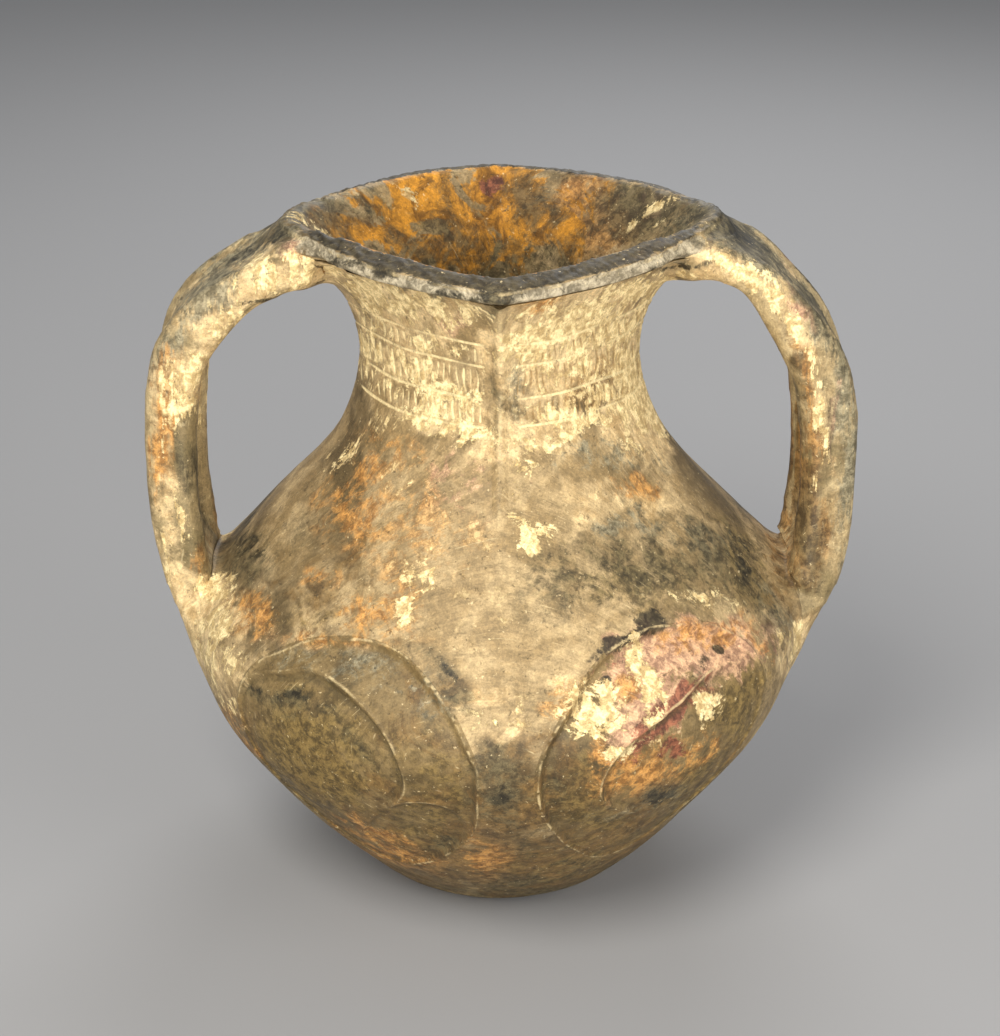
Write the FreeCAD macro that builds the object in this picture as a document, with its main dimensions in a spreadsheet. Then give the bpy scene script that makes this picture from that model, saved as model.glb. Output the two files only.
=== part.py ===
import FreeCAD, Part
import Sketcher
import math
import os

os.makedirs("parts", exist_ok=True)
doc = FreeCAD.newDocument("amphora")

# Driving sizes in millimetres and degrees
sizes = {
    # whole jar
    "total_height": 247.0,
    "base_radius": 47.5,
    "foot_round": 2.0,
    "flank_radius": 98.5,
    "flank_height": 62.0,
    "belly_radius": 109.3,
    "belly_height": 94.0,
    "bowl_radius": 104.0,
    "bowl_height": 111.0,
    "waist_height": 198.0,
    "waist_half_width": 49.0,
    "waist_half_depth": 52.0,
    "mouth_half_width": 80.0,
    "mouth_half_depth": 64.0,
    # wall and its coil joints
    "body_wall": 8.0,
    "neck_wall": 6.0,
    "floor_thickness": 8.0,
    "lower_joint_height": 34.0,
    "shoulder_joint_height": 134.0,
    "neck_joint_height": 172.0,
    # lip
    "rim_saddle_drop": 5.0,
    "lip_height": 9.5,
    "lip_seat": 8.0,
    "lip_slope_front": 2.5,
    "lip_slope_side": 3.5,
    "lip_width_front": 11.0,
    "lip_width_side": 7.5,
    "lip_overlap": 6.0,
    # seam strips on the neck's ridges
    "seam_width": 5.0,
    "seam_depth": 3.0,
    "seam_stand": 0.8,
    # handles
    "handle_root": 62.0,
    "handle_reach": 114.8,
    "handle_top": 235.0,
    "handle_foot": 80.0,
    "handle_spread": 14.5,
    "strap_thickness": 10.0,
    "strap_shift": 1.5,
    "edge_thickness": 16.0,
    "edge_width": 11.0,
    # whorls
    "whorl_bearing": 31.5,
    "whorl_height": 81.0,
    "whorl_half_width": 48.5,
    "whorl_half_height": 44.0,
    "whorl_bed": 5.0,
    "whorl_sink": 1.2,
    "dish_depth": 3.8,
    "dish_curve": 260.0,
    "dish_bearing": 42.0,
    "dish_drop": 8.0,
    "dish_tilt": 12.0,
    "crescent_depth": 2.6,
    "crescent_bearing": 17.0,
    "crescent_drop": 27.0,
    "crescent_tilt": 33.0,
    "cut_overrun": 20.0,
}

sheet = doc.addObject("Spreadsheet::Sheet", "Sizes")
for row, (alias, size) in enumerate(sizes.items(), start=1):
    sheet.set("A%d" % row, alias)
    sheet.set("B%d" % row, str(size))
    sheet.setAlias("B%d" % row, alias)
doc.recompute()

# Profile of the wall, as shares of the driving sizes
circle_share = (math.sqrt(2) - 1) / 2
bowl_bulge_shares = {"foot": 0.18, "flank": 0.03, "belly": 0.063, "bowl": 0.0761}
shoulder_profile_shares = [
    # rise from bowl to waist, drawing in from bowl to waist, bulge of the four sides
    (0.0, 0.0, circle_share),
    (0.17, 0.185, 0.203),
    (0.355, 0.4, 0.19),
    (0.54, 0.655, 0.17),
    (0.725, 0.87, 0.147),
    (1.0, 1.0, 0.11),
]
flare_profile_shares = [
    # rise from waist to rim, opening from waist to mouth, bulge of the two front and the two back sides
    (0.41, 0.2, 0.085, 0.09),
    (0.65, 0.52, 0.075, 0.1),
    (1.0, 1.0, 0.07, 0.12),
    (1.15, 1.24, 0.068, 0.125),
]


def formula(text):
    # names in braces are cells of the sheet
    return text.replace("{", "Sizes.").replace("}", "")


def value(text):
    return float(sheet.evalExpression(formula(text)))


def between(start, end, share):
    return "({%s} + %s * ({%s} - {%s}))" % (start, share, end, start)


def origin_plane(body, role):
    for feature in body.Origin.OriginFeatures:
        if feature.Role == role:
            return feature
    raise RuntimeError("no plane " + role)


def pin_point(sketch, geometry, position, along_x, along_y, bound):
    # holds one point of a sketch at its two formulas
    for kind, text, axis in (("DistanceX", along_x, -2), ("DistanceY", along_y, -1)):
        size = value(text)
        if text == "0":
            sketch.addConstraint(Sketcher.Constraint("PointOnObject", geometry, position, axis))
        elif size > 0:
            index = sketch.addConstraint(Sketcher.Constraint(kind, -1, 1, geometry, position, size))
            bound.append((index, text))
        else:
            index = sketch.addConstraint(Sketcher.Constraint(kind, geometry, position, -1, 1, -size))
            bound.append((index, "-(%s)" % text))


def outline_sketch(body, name, plane, corners, bulge_shares, offset=("0", "0", "0"), turn=0.0):
    # a closed outline: corners joined by lines, or by arcs that bulge by a share of their chord
    sketch = body.newObject("Sketcher::SketchObject", name)
    sketch.AttachmentSupport = (origin_plane(body, plane), [""])
    sketch.MapMode = "FlatFace"
    start = FreeCAD.Vector(*[value(text) for text in offset])
    sketch.AttachmentOffset = FreeCAD.Placement(start, FreeCAD.Rotation(FreeCAD.Vector(0, 1, 0), turn))
    for axis, text in zip("xyz", offset):
        if text != "0":
            sketch.setExpression("AttachmentOffset.Base." + axis, formula(text))
    points = [FreeCAD.Vector(value(x), value(y), 0) for x, y in corners]
    bound = []
    ends = []
    for index, bulge in enumerate(bulge_shares):
        first = points[index]
        last = points[(index + 1) % len(points)]
        if bulge == 0:
            geometry = sketch.addGeometry(Part.LineSegment(first, last), False)
            ends.append((geometry, 1, 2))
            continue
        chord = last - first
        outward = FreeCAD.Vector(chord.y, -chord.x, 0)
        middle = (first + last) * 0.5 + outward * bulge
        geometry = sketch.addGeometry(Part.Arc(first, middle, last), False)
        if (sketch.getPoint(geometry, 1) - first).Length < (sketch.getPoint(geometry, 2) - first).Length:
            ends.append((geometry, 1, 2))
        else:
            ends.append((geometry, 2, 1))
    for index, (x, y) in enumerate(corners):
        geometry, near, far = ends[index]
        previous = ends[index - 1]
        sketch.addConstraint(Sketcher.Constraint("Coincident", previous[0], previous[2], geometry, near))
        pin_point(sketch, geometry, near, x, y, bound)
    for index, bulge in enumerate(bulge_shares):
        if bulge == 0:
            continue
        (x1, y1), (x2, y2) = corners[index], corners[(index + 1) % len(corners)]
        chord = "sqrt((%s - (%s))^2 + (%s - (%s))^2)" % (x1, x2, y1, y2)
        text = "%s * %s" % (chord, (0.25 + bulge * bulge) / (2 * abs(bulge)))
        constraint = sketch.addConstraint(Sketcher.Constraint("Radius", ends[index][0], value(text)))
        bound.append((constraint, text))
    for constraint, text in bound:
        sketch.setExpression("Constraints[%d]" % constraint, formula(text))
    return sketch


def four_sided(body, name, plane, half_x, half_y, bulge_shares, offset, turn=0.0, shift_y="0"):
    # a closed section of two front and two back arcs, from a round to a lozenge
    front_share, back_share = bulge_shares
    corners = [
        (half_x, shift_y),
        ("0", "%s + %s" % (shift_y, half_y)),
        ("-(%s)" % half_x, shift_y),
        ("0", "%s - (%s)" % (shift_y, half_y)),
    ]
    side_shares = [back_share, back_share, front_share, front_share]
    return outline_sketch(body, name, plane, corners, side_shares, offset, turn)


def loft(body, name, sketches):
    feature = body.newObject("PartDesign::AdditiveLoft", name)
    feature.Profile = sketches[0]
    feature.Sections = sketches[1:]
    feature.Ruled = False
    return feature


def new_body(name):
    return doc.addObject("PartDesign::Body", name)


def wall_stations():
    # height, half width, half depth, front and back bulge, share of the way from body wall to neck wall
    stations = []
    for rise, draw, bulge in shoulder_profile_shares:
        stations.append((
            between("bowl_height", "waist_height", rise),
            between("bowl_radius", "waist_half_width", draw),
            between("bowl_radius", "waist_half_depth", draw),
            (bulge, bulge), draw))
    for rise, opening, front_share, back_share in flare_profile_shares:
        stations.append((
            between("waist_height", "total_height", rise),
            between("waist_half_width", "mouth_half_width", opening),
            between("waist_half_depth", "mouth_half_depth", opening),
            (front_share, back_share), 1.0))
    return stations


def bowl(body, inset, rounded):
    # the round lower part of the jar, turned about its axis
    corners = [("0", "0"), ("{base_radius} - %s" % inset, "0")]
    bulge_shares = [0]
    if rounded:
        corners[1] = ("{base_radius} - {foot_round}", "0")
        rise = "({foot_round} / {flank_height})"
        corners.append((between("base_radius", "flank_radius", rise), "{foot_round}"))
        bulge_shares.append(bowl_bulge_shares["foot"])
    corners += [
        ("{flank_radius} - %s" % inset, "{flank_height}"),
        ("{belly_radius} - %s" % inset, "{belly_height}"),
        ("{bowl_radius} - %s" % inset, "{bowl_height}"),
        ("0", "{bowl_height}"),
    ]
    bulge_shares += [bowl_bulge_shares[part] for part in ("flank", "belly", "bowl")]
    sketch = outline_sketch(body, body.Name + "_bowl_profile", "XZ_Plane", corners, bulge_shares + [0, 0])
    turned = body.newObject("PartDesign::Revolution", body.Name + "_bowl")
    turned.Profile = sketch
    turned.ReferenceAxis = (sketch, ["V_Axis"])
    turned.Angle = 360


def wall_form(name, inset, count, rounded=False):
    # solid form of the jar, drawn in by an inset that is a formula of the wall share
    body = new_body(name)
    bowl(body, inset(0.0), rounded)
    sketches = []
    for index, (height, half_x, half_y, bulge_shares, wall_share) in enumerate(stations[:count]):
        drawn_in = inset(wall_share)
        sketches.append(four_sided(body, "%s_station_%d" % (name, index), "XY_Plane",
                                   "%s - %s" % (half_x, drawn_in), "%s - %s" % (half_y, drawn_in),
                                   bulge_shares, ("0", "0", height)))
    loft(body, name + "_loft", sketches)
    return body


stations = wall_stations()
outer_form = wall_form("outer_form", lambda share: "0", len(stations), rounded=True)
inner_form = wall_form("inner_form", lambda share: between("body_wall", "neck_wall", share), len(stations))
whorl_station_count = 3
bed_form = wall_form("bed_form", lambda share: "{whorl_bed}", whorl_station_count)
sunk_form = wall_form("sunk_form", lambda share: "{whorl_sink}", whorl_station_count)


def place(feature, x="0", y="0", z="0"):
    for axis, text in zip("xyz", (x, y, z)):
        if text != "0":
            feature.setExpression("Placement.Base." + axis, formula(text))
    return feature


def slab(name, x_low, x_high, z_low, z_high):
    # a box that cuts one piece out of the jar between two heights
    reach = "({belly_radius} + {cut_overrun})"
    feature = doc.addObject("Part::Box", name)
    x_low = x_low or "-" + reach
    x_high = x_high or reach
    feature.setExpression("Length", formula("%s - (%s)" % (x_high, x_low)))
    feature.setExpression("Width", formula("2 * " + reach))
    feature.setExpression("Height", formula("%s - (%s)" % (z_high, z_low)))
    return place(feature, x_low, "-" + reach, z_low)


def common(name, base, tool):
    feature = doc.addObject("Part::Common", name)
    feature.Base = base
    feature.Tool = tool
    return feature


def fuse(name, shapes):
    feature = doc.addObject("Part::MultiFuse", name)
    feature.Shapes = shapes
    return feature


def cut(name, base, tools):
    feature = doc.addObject("Part::Cut", name)
    feature.Base = base
    feature.Tool = tools[0] if len(tools) == 1 else fuse(name + "_tools", tools)
    return feature


def mirror(name, source, normal):
    feature = doc.addObject("Part::Mirroring", name)
    feature.Source = source
    feature.Normal = normal
    return feature


left_right = FreeCAD.Vector(1, 0, 0)
front_back = FreeCAD.Vector(0, 1, 0)


def saddle_cutter(name, clearance):
    # a lying cylinder whose underside is the saddle of the rim, lowered by a clearance
    radius = "({mouth_half_width}^2 / (2 * {rim_saddle_drop}) + {rim_saddle_drop} / 2)"
    feature = doc.addObject("Part::Cylinder", name)
    feature.setExpression("Radius", formula(radius))
    feature.setExpression("Height", formula("2 * ({belly_radius} + {cut_overrun})"))
    feature.Placement.Rotation = FreeCAD.Rotation(FreeCAD.Vector(1, 0, 0), 90)
    crest = "{total_height} - {rim_saddle_drop}"
    return place(feature, "0", "{belly_radius} + {cut_overrun}", "%s - %s + %s" % (crest, clearance, radius))


# Profile of the lip, as shares of its width and height, and the place of its middle section
lip_heel_share = 0.45
lip_edge_shares = (0.95, 0.8)
lip_crown_share = 0.8
lip_bulge_shares = [0, 0, 0.2, 0.06, 0, 0, 0]
lip_slope_share = 0.25
lip_middle_bearing = 52.0
lip_front_middle_shares = (0.555, 0.59)
lip_back_middle_shares = (0.59, 0.655)


def lip_section(body, name, bearing, crest, width, slope):
    # the lip's profile, upright, pointing outwards at its bearing from +X
    edge_out_share, edge_down_share = lip_edge_shares
    corners = [
        ("0", "-{lip_height}"),
        ("%s * %s" % (lip_heel_share, width), "-{lip_height}"),
        ("%s * %s" % (edge_out_share, width), "-%s * {lip_height}" % edge_down_share),
        ("%s * %s" % (lip_crown_share, width), "-(%s)" % slope),
        ("0", "0"),
        ("-{lip_overlap}", "0"),
        ("-{lip_overlap}", "-{lip_height}"),
    ]
    crest_x, crest_y, crest_z = crest
    return outline_sketch(body, name, "XZ_Plane", corners, lip_bulge_shares,
                          (crest_x, crest_z, "-(%s)" % crest_y), bearing)


def lip_quarter(name, middle_shares):
    # one quarter of the lip, from the right corner round to the back corner
    body = new_body(name)
    inner_x = "({mouth_half_width} - {neck_wall})"
    inner_y = "({mouth_half_depth} - {neck_wall} - {lip_slope_front})"
    x_share, y_share = middle_shares
    middle_crest = ("%s * %s" % (x_share, inner_x), "%s * %s" % (y_share, inner_y),
                    "{total_height} - {rim_saddle_drop} * %s" % (1 - x_share ** 2))
    loft(body, name + "_loft", [
        lip_section(body, name + "_side", 0.0, (inner_x, "0", "{total_height}"),
                    "{lip_width_side}", "{lip_slope_side}"),
        lip_section(body, name + "_middle", lip_middle_bearing, middle_crest,
                    "{lip_width_front}", between("lip_slope_front", "lip_slope_side", lip_slope_share)),
        lip_section(body, name + "_end", 90.0, ("0", inner_y, "{total_height} - {rim_saddle_drop}"),
                    "{lip_width_front}", "{lip_slope_front}"),
    ])
    return body


def lip_ring():
    # the front of the mouth is a lozenge and the back of it is rounder
    back = lip_quarter("lip_back_quarter", lip_back_middle_shares)
    front = mirror("lip_front_quarter", lip_quarter("lip_near_quarter", lip_front_middle_shares), front_back)
    half = fuse("lip_half", [back, front])
    return fuse("lip_ring", [half, mirror("lip_half_left", half, left_right)])


# How far the seam strip stands out at each station, as a share of its full stand, and its slope
seam_stand_shares = [-1.0, 0.6, 1.0, 1.0, 1.0]
seam_slope_share = 0.45
seam_first_station = 3


def seam_form():
    # kite-shaped strip that runs down the back ridge and fades out on the shoulder
    body = new_body("seam_form")
    sketches = []
    for index, share in enumerate(seam_stand_shares):
        height, half_x, half_y, bulge_shares, wall_share = stations[seam_first_station + index]
        shoulder = "%s + %s * {seam_stand} - %s * {seam_width}" % (half_y, share, seam_slope_share)
        corners = [
            ("0", "%s + %s * {seam_stand}" % (half_y, share)),
            ("-{seam_width} / 2", shoulder),
            ("0", "%s - {seam_depth}" % half_y),
            ("{seam_width} / 2", shoulder),
        ]
        sketches.append(outline_sketch(body, "seam_station_%d" % index, "XY_Plane", corners, [0] * 4,
                                       ("0", "0", height)))
    loft(body, "seam_loft", sketches)
    return body


# Route of the handle's middle line from the rim to the belly: shares of reach and height, lean in
# degrees, spread, thickness and width of the edge rolls, and how far the strap swells inwards
handle_shares = [
    (0.0, 1.0, 14.0, 1.3, 1.1, 0.85, 1.6),
    (0.225, 0.986, 28.0, 1.3, 0.98, 0.9, 1.3),
    (0.45, 0.935, 40.0, 1.27, 0.92, 0.95, 1.1),
    (0.68, 0.864, 48.0, 1.2, 0.97, 1.0, 1.0),
    (0.875, 0.77, 62.0, 1.1, 1.0, 1.0, 1.0),
    (0.968, 0.658, 80.0, 1.03, 1.04, 1.0, 1.0),
    (1.0, 0.516, 90.0, 1.0, 1.0, 1.0, 1.0),
    (0.992, 0.368, 96.0, 1.04, 0.97, 1.0, 1.15),
    (0.92, 0.232, 101.0, 1.16, 0.94, 1.06, 2.2),
    (0.83, 0.116, 106.0, 1.38, 0.74, 1.15, 4.2),
    (0.64, 0.0, 112.0, 1.62, 0.52, 1.25, 4.0),
]
strap_bulge_shares = [-0.03, 0, -0.05, 0]
edge_bulge_shares = (0.225, 0.225)


def handle_station_place(reach, height):
    return (between("handle_root", "handle_reach", reach), "0", between("handle_foot", "handle_top", height))


def strap_form():
    # broad strap with hollowed faces, on the right
    body = new_body("strap_form")
    sketches = []
    for index, (reach, height, lean, spread, edge, edge_width, swell) in enumerate(handle_shares):
        outside = "(%s * ({strap_shift} + {strap_thickness} / 2))" % edge
        inside = "(%s * ({strap_shift} - {strap_thickness} / 2))" % (edge * swell)
        half_y = "(%s * {handle_spread})" % spread
        corners = [(outside, "-" + half_y), (outside, half_y), (inside, half_y), (inside, "-" + half_y)]
        sketches.append(outline_sketch(body, "strap_station_%d" % index, "XY_Plane", corners,
                                       strap_bulge_shares, handle_station_place(reach, height), lean - 90))
    loft(body, "strap_loft", sketches)
    return body


def edge_form():
    # thick roll of clay along the strap's back edge, on the right
    body = new_body("edge_form")
    sketches = []
    for index, (reach, height, lean, spread, edge, edge_width, swell) in enumerate(handle_shares):
        sketches.append(four_sided(body, "edge_station_%d" % index, "XY_Plane",
                                   "%s * {edge_thickness} / 2" % edge, "%s * {edge_width} / 2" % edge_width,
                                   edge_bulge_shares, handle_station_place(reach, height), lean - 90,
                                   "%s * {handle_spread}" % spread))
    loft(body, "edge_loft", sketches)
    return body


def whorl_cutter():
    # oval prism that bounds the front right whorl
    body = new_body("whorl_cutter")
    sketch = four_sided(body, "whorl_outline", "XZ_Plane", "{whorl_half_width}", "{whorl_half_height}",
                        (circle_share, circle_share), ("0", "{whorl_height}", "0"))
    sketch.setExpression("AttachmentOffset.Rotation.Angle", formula("{whorl_bearing}"))
    pad = body.newObject("PartDesign::Pad", "whorl_prism")
    pad.Profile = sketch
    pad.setExpression("Length", formula("{belly_radius} + {cut_overrun}"))
    return body


def dish(name, bearing, drop, tilt, radius, depth):
    # a wide ball that scoops a shallow dish out of the whorl's face, where the wall has this radius
    feature = doc.addObject("Part::Sphere", name)
    feature.setExpression("Radius", formula("{dish_curve}"))
    reach = "(%s + ({dish_curve} - %s) * cos(%s))" % (radius, depth, tilt)
    return place(feature, "%s * sin(%s)" % (reach, bearing), "-%s * cos(%s)" % (reach, bearing),
                 "{whorl_height} - %s - ({dish_curve} - %s) * sin(%s)" % (drop, depth, tilt))


def wall_radius(drop):
    # the jar's radius at a drop below the whorl's middle, on the flank
    share = "(({belly_height} - {whorl_height} + %s) / ({belly_height} - {flank_height}))" % drop
    return "({belly_radius} - ({belly_radius} - {flank_radius}) * %s^2)" % share


ring = lip_ring()
seam_back_form = seam_form()
seam_front_form = mirror("seam_front_form", seam_back_form, front_back)

wall_joints = {
    "base_disc": ("0", "{floor_thickness}"),
    "lower_wall": ("{floor_thickness}", "{lower_joint_height}"),
    "belly": ("{lower_joint_height}", "{shoulder_joint_height}"),
    "shoulder": ("{shoulder_joint_height}", "{neck_joint_height}"),
    "neck": ("{neck_joint_height}", "{total_height}"),
}


def wall_slice(name, x_low="", x_high="", joints=None):
    low, high = wall_joints[joints or name]
    return common(name + "_block", outer_form, slab(name + "_slab", x_low, x_high, low, high))


parts = {}
parts["base_disc"] = wall_slice("base_disc")
parts["lower_wall"] = cut("lower_wall", wall_slice("lower_wall"), [inner_form])

# Whorl discs and the beds that they lie in
cutter = whorl_cutter()
blank = cut("whorl_blank", common("whorl_plug", outer_form, cutter), [bed_form])
carved = cut("whorl_carved", common("whorl_face", sunk_form, cutter), [
    bed_form,
    dish("whorl_dish", "{dish_bearing}", "{dish_drop}", "{dish_tilt}",
         wall_radius("{dish_drop}"), "{dish_depth}"),
    dish("whorl_crescent", "{crescent_bearing}", "{crescent_drop}", "{crescent_tilt}",
         wall_radius("{crescent_drop}"), "{crescent_depth}"),
])
blank_left = mirror("whorl_blank_left", blank, left_right)
blank_front = fuse("whorl_blank_front", [blank, blank_left])
blank_back = mirror("whorl_blank_back", blank_front, front_back)
parts["whorl_front_right"] = carved
parts["whorl_front_left"] = mirror("whorl_front_left", carved, left_right)
parts["whorl_back_right"] = mirror("whorl_back_right", carved, front_back)
parts["whorl_back_left"] = mirror("whorl_back_left", parts["whorl_front_left"], front_back)
parts["belly"] = cut("belly", wall_slice("belly"), [inner_form, blank_front, blank_back])

# Seam strips end under the lip
seam_back = cut("neck_seam_back", seam_back_form, [ring])
seam_front = mirror("neck_seam_front", seam_back, front_back)
parts["neck_seam_back"] = seam_back
parts["neck_seam_front"] = seam_front
parts["shoulder"] = cut("shoulder", wall_slice("shoulder"), [inner_form, seam_back, seam_front])

# Neck halves end at the seat of the lip
seat = saddle_cutter("lip_seat_cutter", "{lip_seat}")
neck_tools = [inner_form, seam_back, seam_front, seat]
parts["neck_right"] = cut("neck_right", wall_slice("neck_right", "0", "", "neck"), neck_tools)
parts["neck_left"] = cut("neck_left", wall_slice("neck_left", "", "0", "neck"), neck_tools)
parts["rim_lip"] = cut("rim_lip", ring, [inner_form, parts["neck_right"], parts["neck_left"]])

# Handles
edge_back = cut("handle_right_back_edge", edge_form(), [outer_form, ring])
edge_front = mirror("handle_right_front_edge", edge_back, front_back)
strap = cut("handle_right_strap", strap_form(), [outer_form, ring, edge_back, edge_front])
parts["handle_right_back_edge"] = edge_back
parts["handle_right_front_edge"] = edge_front
parts["handle_right_strap"] = strap
for piece in ("strap", "front_edge", "back_edge"):
    parts["handle_left_" + piece] = mirror("handle_left_" + piece, parts["handle_right_" + piece], left_right)

doc.recompute()

# Nothing is written unless every object and every piece is sound
for feature in doc.Objects:
    if "Invalid" in feature.State or "Error" in feature.State:
        raise RuntimeError(feature.Name + " failed")
for name, feature in parts.items():
    if feature.Shape.isNull() or not feature.Shape.isValid() or len(feature.Shape.Solids) != 1:
        raise RuntimeError(name + " is not one sound solid")

for name, feature in parts.items():
    feature.Label = name
    feature.Shape.exportStep("parts/%s.step" % name)
    print(name, round(feature.Shape.Volume), feature.Shape.BoundBox)
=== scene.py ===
import bpy
import bmesh
import math
import numpy as np
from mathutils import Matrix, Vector
from mathutils.bvhtree import BVHTree


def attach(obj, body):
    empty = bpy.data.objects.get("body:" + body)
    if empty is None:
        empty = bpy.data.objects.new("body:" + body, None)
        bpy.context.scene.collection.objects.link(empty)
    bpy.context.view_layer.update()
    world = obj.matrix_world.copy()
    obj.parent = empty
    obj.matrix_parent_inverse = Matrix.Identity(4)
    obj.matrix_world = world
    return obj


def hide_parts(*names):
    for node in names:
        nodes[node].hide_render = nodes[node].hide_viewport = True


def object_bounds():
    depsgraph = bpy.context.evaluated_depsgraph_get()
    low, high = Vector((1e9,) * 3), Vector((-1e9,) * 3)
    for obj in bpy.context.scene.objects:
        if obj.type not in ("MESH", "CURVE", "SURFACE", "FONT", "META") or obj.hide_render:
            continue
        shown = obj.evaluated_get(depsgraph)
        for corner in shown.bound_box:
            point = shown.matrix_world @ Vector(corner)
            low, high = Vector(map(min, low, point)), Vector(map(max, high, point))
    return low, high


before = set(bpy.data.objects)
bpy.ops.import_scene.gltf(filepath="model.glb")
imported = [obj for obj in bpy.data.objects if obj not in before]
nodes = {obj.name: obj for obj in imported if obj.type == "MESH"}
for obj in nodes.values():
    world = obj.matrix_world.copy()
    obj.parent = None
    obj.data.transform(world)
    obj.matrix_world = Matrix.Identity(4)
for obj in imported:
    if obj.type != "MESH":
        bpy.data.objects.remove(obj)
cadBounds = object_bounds()
print("frame loaded with", len(nodes), "nodes")

millimetre = 0.001
handleParts = ["strap", "front_edge", "back_edge"]
allHandles = ["handle_%s_%s" % (side, part) for side in ("left", "right") for part in handleParts]
wallNames = [name for name in nodes if name not in allHandles]
across, deep, upward = 0, 1, 2
cutSlack = 0.002 * millimetre
sharpAngle = 0.9
outOfField = -5.0


def ramp(low, high, values):
    # 0 below low, 1 above high and a soft rise between them
    share = np.clip((values - low) / (high - low), 0.0, 1.0)
    return share * share * (3.0 - 2.0 * share)


def meshOf(bm, name):
    mesh = bpy.data.meshes.new(name)
    bm.to_mesh(mesh)
    bm.free()
    return mesh


def bmeshOf(mesh):
    bm = bmesh.new()
    bm.from_mesh(mesh)
    return bm


def mergedCopy(names):
    # one copy of some CAD nodes with its shared points merged
    bm = bmesh.new()
    for name in names:
        bm.from_mesh(nodes[name].data)
    bmesh.ops.remove_doubles(bm, verts=bm.verts, dist=0.001 * millimetre)
    return bm


def treeOf(names):
    bm = mergedCopy(names)
    tree = BVHTree.FromBMesh(bm)
    bm.free()
    return tree


def placesOf(mesh):
    points = np.empty(len(mesh.vertices) * 3)
    mesh.vertices.foreach_get("co", points)
    return points.reshape(-1, 3) / millimetre


def setPlaces(mesh, points):
    mesh.vertices.foreach_set("co", (points * millimetre).ravel())
    mesh.update()


def normalsOf(mesh):
    normals = np.empty(len(mesh.vertices) * 3)
    mesh.vertex_normals.foreach_get("vector", normals)
    return normals.reshape(-1, 3)


def valuesOf(mesh, name):
    values = np.empty(len(mesh.vertices))
    mesh.attributes[name].data.foreach_get("value", values)
    return values


def setValues(mesh, name, values):
    layer = mesh.attributes.get(name) or mesh.attributes.new(name, "FLOAT", "POINT")
    layer.data.foreach_set("value", values)


def keptNormals(mesh):
    # the normals of the whole jar, so that neighbouring pieces agree along their joints
    normals = np.stack([valuesOf(mesh, name) for name in ("outX", "outY", "outZ")], axis=1)
    return normals / np.maximum(np.linalg.norm(normals, axis=1, keepdims=True), 1e-6)


def outerSkin(mesh):
    # true where the surface looks away from the jar's middle axis
    points = placesOf(mesh)
    normals = keptNormals(mesh)
    return points[:, 0] * normals[:, 0] + points[:, 1] * normals[:, 1] > 0


wallTree = treeOf(wallNames)
handleTree = treeOf(allHandles)

clay = {
    "lower": {"voxel": 1.75, "softRounds": 3, "filletRounds": [(14.0, 12), (9.0, 22), (6.0, 16)]},
    "upper": {"voxel": 1.15, "softRounds": 6, "filletRounds": [(14.0, 28), (9.0, 50), (6.0, 36)]},
    "plugHeights": (30.0, 126.0, 3.0),
    "plugWall": 6.5,
    "plugTurns": 180,
    "split": 134.0,
    "splitSpare": 6.0,
    "handleSide": 60.0,
    "handleFoot": 70.0,
}


def plugRing():
    # a plain ring of wall that fills the beds of the whorls, so that they can be cut later
    tree = treeOf(["belly", "lower_wall"])
    heights = np.arange(*clay["plugHeights"]) * millimetre
    outside = [tree.ray_cast(Vector((1, 0, z)), Vector((-1, 0, 0)))[0] for z in heights]
    inside = [point - Vector((clay["plugWall"] * millimetre, 0, 0)) for point in reversed(outside)]
    bm = bmesh.new()
    ring = [bm.verts.new(point) for point in outside + inside]
    edges = [bm.edges.new((ring[i - 1], ring[i])) for i in range(len(ring))]
    bmesh.ops.spin(bm, geom=ring + edges, cent=(0, 0, 0), axis=(0, 0, 1), dvec=(0, 0, 0),
                   angle=2 * math.pi, steps=clay["plugTurns"], use_merge=True)
    bmesh.ops.remove_doubles(bm, verts=bm.verts, dist=0.01 * millimetre)
    bmesh.ops.recalc_face_normals(bm, faces=bm.faces)
    return meshOf(bm, "plug")


def placed(name, data):
    thing = bpy.data.objects.new(name, data)
    bpy.context.scene.collection.objects.link(thing)
    return thing


def remeshed(mesh, voxel):
    # one even skin round everything in the mesh
    lump = placed("lump", mesh)
    remesh = lump.modifiers.new("skin", "REMESH")
    remesh.mode = "VOXEL"
    remesh.voxel_size = voxel
    depsgraph = bpy.context.evaluated_depsgraph_get()
    skin = bpy.data.meshes.new_from_object(lump.evaluated_get(depsgraph))
    bpy.data.objects.remove(lump)
    bpy.data.meshes.remove(mesh)
    return skin


def gapsTo(tree, points):
    return np.array([tree.find_nearest(Vector(point))[3] for point in points * millimetre]) / millimetre


def smooth(bm, verts, rounds):
    for turn in range(rounds):
        bmesh.ops.smooth_vert(bm, verts=verts, factor=0.5, use_axis_x=True, use_axis_y=True, use_axis_z=True)


# extra clay pressed in by the potter as (middle, half sizes) in millimetres: it thickens the corners of the handles
wads = [
    ((70.0, 0.0, 230.0), (15.0, 19.0, 7.5)),
    ((-70.0, 0.0, 230.0), (15.0, 19.0, 7.5)),
]
# where the ends of the lip run out into the handles, smoothed by hand as (middle, reach, rounds)
thumbed = [((82.0, 0.0, 241.0), (17.0, 30.0, 13.0), 50), ((82.0, 0.0, 242.0), (10.0, 22.0, 9.0), 70)]


def wad(bm, middle, sizes):
    made = bmesh.ops.create_icosphere(bm, subdivisions=4, radius=millimetre)["verts"]
    bmesh.ops.scale(bm, vec=sizes, verts=made)
    bmesh.ops.translate(bm, vec=Vector(middle) * millimetre, verts=made)


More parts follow.
